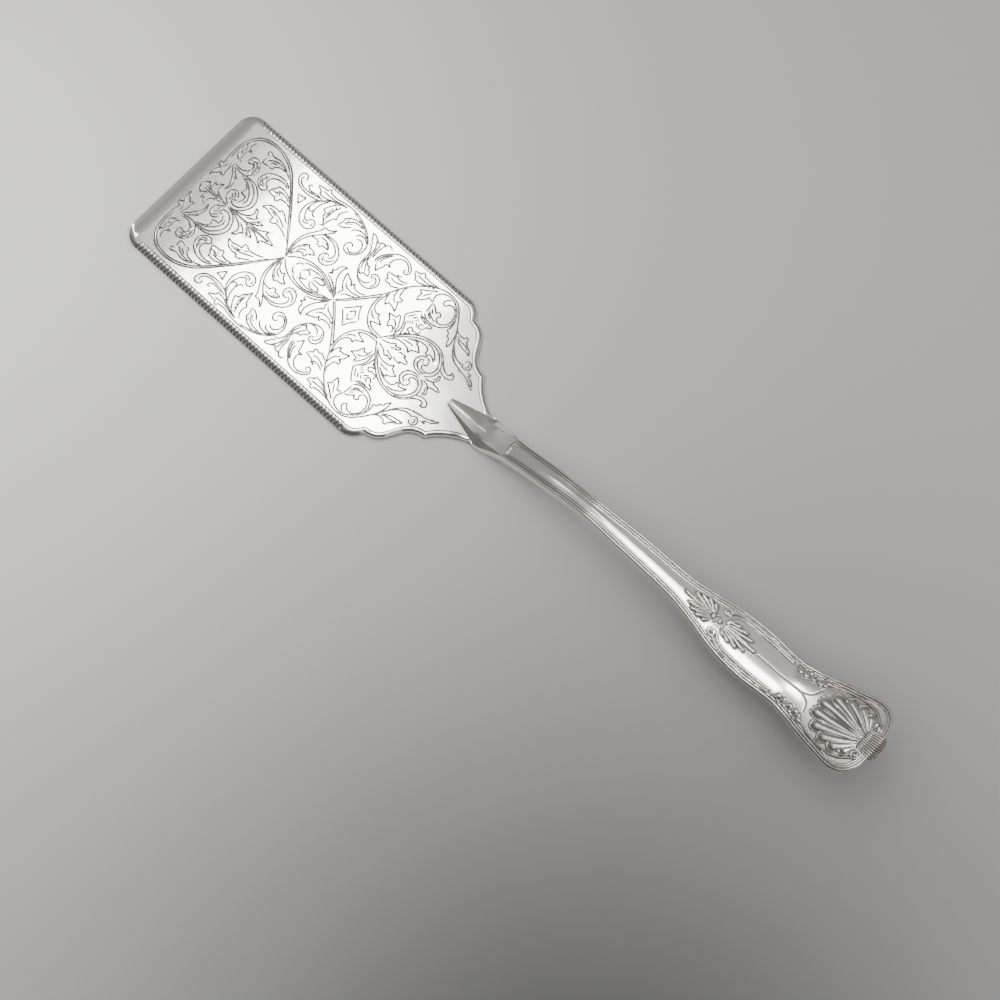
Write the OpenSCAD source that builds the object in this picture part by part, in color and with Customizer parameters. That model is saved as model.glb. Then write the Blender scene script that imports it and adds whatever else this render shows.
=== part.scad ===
// Cake server: a flat engraved blade soldered under the pointed tongue of a solid ornamented handle.
// Millimetres. X runs from the front edge of the blade to the end of the handle, Z is up, and the
// origin lies on the table under the middle of the overall length.

/* [Blade] */
// Length from the front edge to the butt joint at the neck
blade_l = 108; // [95:0.5:130]
// Width over the two milled sides
blade_w = 49.4; // [42:0.2:60]
// Thickness of the plate
blade_t = 1.6; // [1.2:0.1:2.4]
// Radius of the two front corners
front_r = 5; // [3:0.5:9]
// Width of the bevel along the front and the sides
rim_w = 1.9; // [1.2:0.1:2.6]
// Width of the bevel round the shoulders
shoulder_rim_w = 1.2; // [0.7:0.1:1.6]
// Depth of the bevel at its outer edge
rim_drop = 0.7; // [0.4:0.05:0.9]

/* [Milled border] */
// Distance from one notch to the next
mill_pitch = 1.17; // [0.9:0.01:1.8]
// Plain stretch between the front corner and the first notch
mill_margin = 0.6; // [0.2:0.1:2]
// Depth of a notch into the bevel
mill_depth = 0.4; // [0.2:0.05:0.6]

/* [Shoulders] */
// Length of the shoulders, from the end of the straight sides to the butt joint
shoulder_l = 28.1; // [24:0.1:36]
// Radius of the round corner that ends a straight side
shoulder_r = 5.5; // [4:0.1:7]
// Distance of the middle point of the shoulder from the butt joint
point_l = 10.5; // [8:0.1:13]
// Width of the blade at the middle point of the shoulder
point_w = 22.9; // [18:0.1:28]

/* [Lap joint] */
// Length of the tongue that lies on the blade
tongue_l = 12.4; // [8:0.1:16]
// Width of the tongue at its blunt tip
tongue_tip_w = 1.9; // [0.6:0.1:3]
// Height of the tongue's ridge over the blade at its tip
tongue_tip_h = 0.6; // [0.4:0.05:1]
// Height of the tongue's ridge over the blade at the butt joint
tongue_ridge_h = 2.2; // [1.4:0.1:3]
// Height of the tongue's side edges over the blade
tongue_edge_h = 0.45; // [0.3:0.05:0.7]
// Thickness of the solder film
solder_t = 0.15; // [0.1:0.05:0.25]

/* [Handle lengths] */
// Neck, from the butt joint to the framed stem
neck_l = 9; // [7:0.5:14]
// Framed stem, from the neck to the cartouche
stem_l = 57; // [45:0.5:75]
// Cartouche, from the stem to the waist before the shell
cartouche_l = 35; // [28:0.5:45]
// Shell, from the waist to the comb
shell_l = 25.3; // [20:0.1:32]
// Comb tip beyond the shell
comb_l = 1.9; // [1.5:0.1:4]

/* [Handle widths] */
// Neck at the butt joint
neck_w = 9.2; // [8:0.1:12]
// Stem at its slimmest
stem_w = 5.4; // [4:0.1:7]
// Stem where it meets the cartouche
stem_end_w = 7.5; // [6:0.1:9]
// Cartouche at its widest
cartouche_w = 14.2; // [10:0.1:17]
// Waist between the cartouche and the shell
waist_w = 13.3; // [9:0.1:16]
// Shell at its widest
shell_w = 20.8; // [16:0.1:26]
// Comb tip
comb_w = 7.2; // [5:0.1:9]

/* [Handle heights] */
// Top of the stem where it leaves the neck
stem_start_z = 8.2; // [6:0.1:12]
// Top of the arch
arch_z = 17.9; // [14:0.1:24]
// Top of the cartouche at its lowest
cartouche_z = 15.7; // [12:0.1:22]
// Top of the comb at the end of the handle
end_z = 24.2; // [18:0.1:32]
// Thickness of the stem where it leaves the neck
stem_start_t = 4.9; // [3.8:0.1:6]
// Thickness of the stem at the top of the arch
stem_t = 3.6; // [2.8:0.1:4.4]
// Thickness of the cartouche and the shell
end_t = 2.4; // [1.8:0.1:3.2]
// Length of the flat heel under the neck
heel_l = 2.7; // [1.5:0.1:4]
// How much wider the underside is than the top, at each side
draft = 0.2; // [0.1:0.05:0.4]

/* [Struck ornament] */
// Width of the raised thread along the handle's edges
thread_w = 1; // [0.6:0.05:1.4]
// Height of the raised thread
thread_h = 0.3; // [0.15:0.05:0.5]
// Rise of the stem's middle line over its edges
stem_crown = 0.5; // [0.2:0.05:1]
// Rise of the cartouche's middle line over its edges
cartouche_crown = 1; // [0.4:0.05:1.3]
// Rise of the shell's middle line over its edges
shell_crown = 0.8; // [0.3:0.05:1.2]
// Number of lobes in the shell
lobes = 10; // [6:2:14]
// Height of the shell's lobes
lobe_h = 0.55; // [0.2:0.05:0.9]
// Length of the middle lobes
lobe_l = 13; // [9:0.5:16]
// Length of the lobes beside the comb
side_lobe_l = 5; // [3:0.5:7]

/* [Hidden] */
silver = "#c8c8c4";
solder_grey = "#a9a9a4";

butt_x = blade_l;
heel_x = butt_x + solder_t;
stem_x = heel_x + neck_l;
cartouche_x = stem_x + stem_l;
shell_x = cartouche_x + cartouche_l;
comb_x = shell_x + shell_l;
overall_l = comb_x + comb_l;
lap_z = blade_t + solder_t;
tip_x = butt_x - tongue_l;
side_end_x = blade_l - shoulder_l;
mill_start_x = front_r + mill_margin;
mill_n = floor((side_end_x - mill_start_x) / mill_pitch);
arc_steps = 8;
curve_steps = 10;

// Part of the way from the straight side down to the shoulder's first cusp that the round corner turns
corner_turn = 70;
cusp = [side_end_x + shoulder_r * sin(corner_turn), blade_w / 2 - shoulder_r * (1 - cos(corner_turn))];
point = [butt_x - point_l, point_w / 2];
tail = [butt_x, neck_w / 2];

function lerp(a, b, t) = a + (b - a) * t;

function bezier(a, b, c, d, t) =
    pow(1 - t, 3) * a + 3 * pow(1 - t, 2) * t * b + 3 * (1 - t) * t * t * c + pow(t, 3) * d;

// Smooth step from 0 to 1 as x goes from a to b
function ramp(a, b, x) = let (t = min(1, max(0, (x - a) / (b - a)))) t * t * (3 - 2 * t);

// Slope of a smooth curve at key k of a list of [x, value] pairs
function key_slope(keys, k) =
    let (i = max(0, k - 1), j = min(len(keys) - 1, k + 1))
    (keys[j][1] - keys[i][1]) / (keys[j][0] - keys[i][0]);

function key_span(keys, x, k = 0) = k >= len(keys) - 2 || x < keys[k + 1][0] ? k : key_span(keys, x, k + 1);

// Value at x of the smooth curve through a list of [x, value] pairs
function curve(keys, x) =
    let (k = key_span(keys, x), a = keys[k], b = keys[k + 1], h = b[0] - a[0])
    let (t = min(1, max(0, (x - a[0]) / h)), t2 = t * t, t3 = t2 * t)
    (2 * t3 - 3 * t2 + 1) * a[1] + (t3 - 2 * t2 + t) * h * key_slope(keys, k)
    + (3 * t2 - 2 * t3) * b[1] + (t3 - t2) * h * key_slope(keys, k + 1);

// Blade outline: each point is [x, y, bevel width, notch depth], from the front along one side to the tail
front_corner = [for (i = [0:arc_steps]) let (a = 180 - 90 * i / arc_steps)
    [front_r + front_r * cos(a), blade_w / 2 - front_r + front_r * sin(a), rim_w, 0]];
milled_side = [for (i = [1:2 * mill_n])
    [mill_start_x + (i - 0.5) * mill_pitch / 2, blade_w / 2, rim_w, i % 2 == 0 ? mill_depth : 0]];
round_corner = [for (i = [0:arc_steps]) let (a = 90 - corner_turn * i / arc_steps)
    [side_end_x + shoulder_r * cos(a), blade_w / 2 - shoulder_r + shoulder_r * sin(a),
     lerp(rim_w, shoulder_rim_w, i / arc_steps), 0]];
ogee_reach = 0.6 * (point[0] - cusp[0]);
ogee = [for (i = [1:curve_steps]) let (p = bezier(cusp, cusp + [ogee_reach, -0.5],
    point - [ogee_reach, -0.5], point, i / curve_steps)) [p[0], p[1], shoulder_rim_w, 0]];
sweep_drop = point[1] - tail[1];
sweep = [for (i = [1:curve_steps]) let (p = bezier(point, point + [0.15 * point_l, -0.34 * sweep_drop],
    tail - [0.5 * point_l, -0.21 * sweep_drop], tail, i / curve_steps)) [p[0], p[1], shoulder_rim_w, 0]];
far_side = concat(front_corner, milled_side, round_corner, ogee, sweep);
near_side = [for (i = [len(far_side) - 1:-1:0]) [far_side[i][0], -far_side[i][1], far_side[i][2], far_side[i][3]]];
outline = concat(far_side, near_side);

// Unit vector into the blade at point i of the outline
function inward(i) =
    let (n = len(outline), a = outline[(i + n - 1) % n], b = outline[(i + 1) % n])
    let (d = [b[0] - a[0], b[1] - a[1]])
    [d[1], -d[0]] / norm(d);

module blade() {
    n = len(outline);
    under = [for (p = outline) [p[0], p[1], 0]];
    edge = [for (i = [0:n - 1]) let (p = outline[i], q = inward(i) * p[3])
        [p[0] + q[0], p[1] + q[1], blade_t - rim_drop]];
    face = [for (i = [0:n - 1]) let (p = outline[i], q = inward(i) * p[2]) [p[0] + q[0], p[1] + q[1], blade_t]];
    walls = [for (r = [0:1], i = [0:n - 1]) let (a = r * n + i, b = r * n + (i + 1) % n)
        each [[a, b, b + n], [a, b + n, a + n]]];
    color(silver)
    translate([-overall_l / 2, 0, 0])
    polyhedron(concat(under, edge, face),
        concat([[for (i = [n - 1:-1:0]) i]], walls, [[for (i = [0:n - 1]) 2 * n + i]]));
}

// Handle: half width, top height and thickness along X, as smooth curves through a few keys.
// The shell's outline turns in towards the comb from corner_x.
corner_x = shell_x + 0.9 * shell_l;
width_keys = [
    [butt_x, neck_w / 2],
    [stem_x, 0.35 * neck_w],
    [stem_x + 0.27 * stem_l, 0.55 * stem_w],
    [stem_x + 0.46 * stem_l, stem_w / 2],
    [stem_x + 0.7 * stem_l, 0.25 * (stem_w + stem_end_w)],
    [cartouche_x, stem_end_w / 2],
    [cartouche_x + 0.22 * cartouche_l, 0.5 * lerp(stem_end_w, cartouche_w, 0.38)],
    [cartouche_x + 0.44 * cartouche_l, 0.5 * lerp(stem_end_w, cartouche_w, 0.84)],
    [cartouche_x + 0.7 * cartouche_l, cartouche_w / 2],
    [shell_x, waist_w / 2],
    [shell_x + 0.46 * shell_l, 0.5 * lerp(waist_w, shell_w, 0.64)],
    [shell_x + 0.7 * shell_l, 0.49 * shell_w],
    [shell_x + 0.8 * shell_l, shell_w / 2],
    [corner_x, 0.5 * lerp(comb_w, shell_w, 0.88)],
    [shell_x + 0.97 * shell_l, 0.5 * lerp(comb_w, shell_w, 0.64)],
    [comb_x, comb_w / 2]];
top_keys = [
    [tip_x, lap_z + tongue_tip_h],
    [butt_x, lap_z + tongue_ridge_h],
    [stem_x, stem_start_z],
    [stem_x + 0.29 * stem_l, lerp(stem_start_z, arch_z, 0.69)],
    [stem_x + 0.47 * stem_l, lerp(stem_start_z, arch_z, 0.94)],
    [stem_x + 0.78 * stem_l, arch_z],
    [cartouche_x + 0.22 * cartouche_l, lerp(arch_z, cartouche_z, 0.62)],
    [cartouche_x + 0.68 * cartouche_l, cartouche_z],
    [shell_x, lerp(cartouche_z, end_z, 0.08)],
    [shell_x + 0.4 * shell_l, lerp(cartouche_z, end_z, 0.36)],
    [shell_x + 0.8 * shell_l, lerp(cartouche_z, end_z, 0.72)],
    [overall_l, end_z]];
thickness_keys = [
    [stem_x, stem_start_t],
    [stem_x + 0.29 * stem_l, lerp(stem_start_t, stem_t, 0.85)],
    [stem_x + 0.5 * stem_l, stem_t],
    [cartouche_x, lerp(stem_t, end_t, 0.4)],
    [cartouche_x + 0.4 * cartouche_l, end_t],
    [overall_l, end_t]];
heel_end_x = heel_x + heel_l;
under_keys = concat(
    [[heel_end_x - neck_l, 0], [heel_end_x, 0]],
    [for (k = top_keys) if (k[0] >= stem_x) [k[0], k[1] - curve(thickness_keys, k[0])]]);

// The comb is a quarter ellipse of this depth at its end
function comb_half(x) = comb_w / 2 * sqrt(max(0.25, 1 - 0.75 * pow((x - comb_x) / comb_l, 2)));
function half_width(x) =
    x <= butt_x ? lerp(tongue_tip_w, neck_w, (x - tip_x) / tongue_l) / 2 :
    x >= comb_x ? comb_half(x) :
    curve(width_keys, x);

// Edge of the top surface below its middle line: a roof on the tongue, a crown on the stem and the rest
crown_keys = [
    [butt_x, tongue_ridge_h - tongue_edge_h],
    [stem_x, stem_crown],
    [cartouche_x, stem_crown],
    [cartouche_x + 0.6 * cartouche_l, cartouche_crown],
    [shell_x + 0.5 * shell_l, shell_crown],
    [overall_l, shell_crown / 2]];
function crown(x) = x <= butt_x ? curve(top_keys, x) - lap_z - tongue_edge_h : curve(crown_keys, x);

// Lobes fan out from the shell's root, just inside the comb, towards the blade
shell_root_x = comb_x - 2.5;
lobe_sweep = 110;
function lobe(x, y) =
    let (r = norm([shell_root_x - x, y]), a = atan2(y, shell_root_x - x), way = min(1, abs(a) / lobe_sweep))
    let (reach = lerp(lobe_l, side_lobe_l, way), phase = 90 * lobes * (a / lobe_sweep))
    abs(a) > lobe_sweep ? 0 :
    lobe_h * sqrt(abs(sin(phase))) * ramp(1, 4, r) * (1 - ramp(0.85 * reach, reach, r));

// Raised thread along the edge, from the start of the framed stem to the end of the shell
function thread(x, y, hw) =
    let (d = (hw - abs(y)) / thread_w)
    thread_h * max(0, 1 - pow(2 * d - 1.2, 2)) * ramp(stem_x - 2, stem_x + 2, x) * (1 - ramp(comb_x - 1, comb_x, x));

function top_z(x, y, hw) =
    let (u = abs(y) / hw, roof = 1 - ramp(butt_x, stem_x, x))
    curve(top_keys, x) - crown(x) * lerp(u * u, u, roof) + thread(x, y, hw) + lobe(x, y);

function under_z(x) = x <= heel_end_x ? 0 : curve(under_keys, x);

inner_n = 10;
thread_n = 4;
under_n = 4;
top_n = 2 * (inner_n + thread_n) + 1;
section_n = top_n + 2 * under_n + 1;
function across(hw) = let (inner = hw - min(1.3 * thread_w, 0.5 * hw))
    concat([for (k = [0:inner_n]) inner * k / inner_n], [for (k = [1:thread_n]) lerp(inner, hw, k / thread_n)]);

// One closed section of the handle at x, over the top from one edge to the other and back underneath.
// A section of the tongue stands on the solder and the blade, every other one has its own underside.
function section(x, on_blade) =
    let (hw = half_width(x), ys = across(hw), n = len(ys))
    concat(
        [for (k = [n - 1:-1:1]) [x, -ys[k], top_z(x, ys[k], hw)]],
        [for (k = [0:n - 1]) [x, ys[k], top_z(x, ys[k], hw)]],
        [for (k = [under_n:-1:-under_n]) let (half = on_blade ? hw : hw + draft)
            [x, half * k / under_n, on_blade ? lap_z : under_z(x)]]);

function steps(a, b, n) = [for (i = [0:n - 1]) lerp(a, b, i / n)];
tongue_stations = concat(steps(tip_x, heel_x, 5), [heel_x]);
body_stations = concat(
    steps(heel_x, stem_x, 8),
    steps(stem_x, cartouche_x, 18),
    steps(cartouche_x, shell_x, 14),
    steps(shell_x, corner_x, 34),
    steps(corner_x, comb_x, 9),
    steps(comb_x, overall_l, 5),
    [overall_l]);

// Index of point i of section k: the tongue's last section and the heel's first share their top points
step_k = len(tongue_stations);
function at(k, i) = k == step_k && i < top_n ? (k - 1) * section_n + i : k * section_n + i;

// Triangles that close section k, fanned from the middle of its underside and from its two edges
function end_faces(k) =
    let (middle = top_n + under_n)
    concat(
        [for (i = [0:top_n - 2]) [at(k, middle), at(k, i), at(k, i + 1)]],
        [for (i = [top_n:middle - 1]) [at(k, top_n - 1), at(k, i), at(k, i + 1)]],
        [for (i = [middle:section_n - 2]) [at(k, 0), at(k, i), at(k, i + 1)]]);

module handle() {
    sections = concat([for (x = tongue_stations) section(x, true)], [for (x = body_stations) section(x, false)]);
    last = len(sections) - 1;
    sides = [for (k = [0:last - 1], i = [0:section_n - 1]) let (j = (i + 1) % section_n)
        each [[at(k, i), at(k, j), at(k + 1, j)], [at(k, i), at(k + 1, j), at(k + 1, i)]]];
    color(silver)
    translate([-overall_l / 2, 0, 0])
    polyhedron([for (s = sections) each s],
        concat([for (f = end_faces(0)) [f[2], f[1], f[0]]],
            [for (f = sides) if (f[0] != f[1] && f[1] != f[2] && f[2] != f[0]) f],
            end_faces(last)));
}

// Film under the tongue and, joined to it, the film between the end of the blade and the heel of the neck
module lap_solder() {
    tip_y = tongue_tip_w / 2;
    butt_y = neck_w / 2;
    color(solder_grey)
    translate([-overall_l / 2, 0, 0]) {
        translate([0, 0, blade_t])
            linear_extrude(solder_t)
                polygon([[tip_x, -tip_y], [butt_x, -butt_y], [heel_x, -butt_y],
                    [heel_x, butt_y], [butt_x, butt_y], [tip_x, tip_y]]);
        translate([butt_x, -butt_y, 0])
            cube([solder_t, 2 * butt_y, lap_z]);
    }
}

blade();
handle();
lap_solder();
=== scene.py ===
import math
import bpy
import numpy as np
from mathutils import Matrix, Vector, geometry


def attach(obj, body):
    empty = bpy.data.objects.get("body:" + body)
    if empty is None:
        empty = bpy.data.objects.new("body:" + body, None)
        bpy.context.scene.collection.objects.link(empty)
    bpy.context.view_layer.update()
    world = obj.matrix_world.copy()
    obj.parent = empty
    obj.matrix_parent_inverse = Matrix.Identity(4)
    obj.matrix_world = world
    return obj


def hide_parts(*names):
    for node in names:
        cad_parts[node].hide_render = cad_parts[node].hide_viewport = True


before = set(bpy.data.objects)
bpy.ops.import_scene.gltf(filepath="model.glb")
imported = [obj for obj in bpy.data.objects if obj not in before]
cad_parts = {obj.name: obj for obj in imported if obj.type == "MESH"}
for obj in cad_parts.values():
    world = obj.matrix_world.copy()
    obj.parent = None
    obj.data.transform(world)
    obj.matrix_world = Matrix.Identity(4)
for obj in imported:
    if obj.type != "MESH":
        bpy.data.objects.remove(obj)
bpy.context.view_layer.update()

mm = 0.001
overallLength = 236.35
print("frame loaded:", sorted(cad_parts))


def lerp(a, b, t):
    return a + (b - a) * t


def ramp(a, b, x):  # smooth step from 0 to 1 as x goes from a to b
    t = np.clip((x - a) / (b - a), 0, 1)
    return t * t * (3 - 2 * t)


def smoothCurve(keyX, keyY, x):  # cubic through the keys, each key's slope taken from its two neighbours
    keyX, keyY = np.asarray(keyX, float), np.asarray(keyY, float)
    count = len(keyX)
    before = np.maximum(np.arange(count) - 1, 0)
    after = np.minimum(np.arange(count) + 1, count - 1)
    slope = (keyY[after] - keyY[before]) / (keyX[after] - keyX[before])
    k = np.clip(np.searchsorted(keyX, x, side="right") - 1, 0, count - 2)
    h = keyX[k + 1] - keyX[k]
    t = np.clip((x - keyX[k]) / h, 0, 1)
    t2 = t * t
    t3 = t2 * t
    return ((2 * t3 - 3 * t2 + 1) * keyY[k] + (t3 - 2 * t2 + t) * h * slope[k]
            + (3 * t2 - 2 * t3) * keyY[k + 1] + (t3 - t2) * h * slope[k + 1])


def spread(values, count):  # smooth row of so many numbers through the values, which lie evenly along it
    return smoothCurve(np.linspace(0, 1, len(values)), values, np.linspace(0, 1, count))


def wayAlong(line):  # length of the line up to each of its points
    return np.concatenate([[0], np.cumsum(np.hypot(*np.diff(line, axis=0).T))])


def strokePath(points, step):  # smooth line through the points; a point given twice is a sharp corner
    shortest = 1e-9
    points = np.asarray(points, float)
    corners = np.flatnonzero(np.all(points[1:] == points[:-1], axis=1)) + 1
    places, normals = [], []
    for run in np.split(points, corners):
        way = wayAlong(run)
        t = np.linspace(0, way[-1], 2 + int(way[-1] / step))
        line = np.stack([smoothCurve(way, run[:, 0], t), smoothCurve(way, run[:, 1], t)], 1)
        along = np.gradient(line, axis=0)
        along /= np.maximum(np.hypot(along[:, 0], along[:, 1]), shortest)[:, None]
        places.append(line)
        normals.append(np.stack([-along[:, 1], along[:, 0]], 1))
    return np.concatenate(places), np.concatenate(normals)


def meshPiece(name, points, faces, node, tarnishAndShade, sharpDegrees):
    mesh = bpy.data.meshes.new(name)
    points = (np.asarray(points) - [overallLength / 2, 0, 0]) * mm
    mesh.from_pydata(points.tolist(), [], faces)
    mesh.update()
    mesh.polygons.foreach_set("use_smooth", np.ones(len(mesh.polygons), bool))
    mesh.set_sharp_from_angle(angle=math.radians(sharpDegrees))
    # darkness per point: tarnish together with painted shade
    layer = mesh.attributes.new("tarnishAndShade", "FLOAT", "POINT")
    layer.data.foreach_set("value", np.asarray(tarnishAndShade, np.float32))
    piece = bpy.data.objects.new(name, mesh)
    bpy.context.scene.collection.objects.link(piece)
    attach(piece, "root")
    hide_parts(node)
    print(name, len(mesh.vertices), "points,", len(mesh.polygons), "faces")
    return piece


# Blade: outline, bevel with milled sides, and flat engraved face
blade = {
    "length": 108, "width": 49.4, "thick": 1.6, "rim": 1.9, "shoulderRim": 1.2, "rimDrop": 0.7,
    "frontRadius": 5, "frontZone": 6, "frontSteps": 22, "sharpAngle": 16,
    # tail: corner, ogee and sweep to the neck, and how far the two curves follow the lines at their ends
    "shoulderLength": 28.1, "shoulderRadius": 5.5, "cornerTurn": 70, "pointLength": 10.5,
    "pointWidth": 22.9, "neckWidth": 8.2, "cornerSteps": 18, "curveSteps": 30,
    "ogeePull": (0.6, 0.5), "sweepStart": (0.15, 0.34), "sweepEnd": (0.5, 0.21),
    # lip of the bevel: its height, where it rises behind the front, and how far before the tail it fades
    "lipRise": 0.1, "lipStart": (3, 11), "lipEnd": (6, 2),
    # milled notches, and how dark they are on the near and on the far side: tarnish in the notches, with
    # painted shade that makes the far side darker
    "millPitch": 1.17, "millMargin": 0.6, "millDepth": 0.34, "millSteps": 8, "millPower": 0.7,
    "millInset": 0.5, "notchTarnishAndShade": (0.25, 1), "notchTarnishAndShadePower": 0.6, "wallPaintedShade": 0.8,
    # engraved lines, and the strips in which the nearest line is searched
    "lineShift": (-0.6, 0), "lineWidth": 0.52, "lineDepth": 0.22, "lineStep": 0.3, "taper": 0.7,
    "searchStrips": 160, "searchMargin": 0.5, "mergeGap": 1e-5,
}

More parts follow.
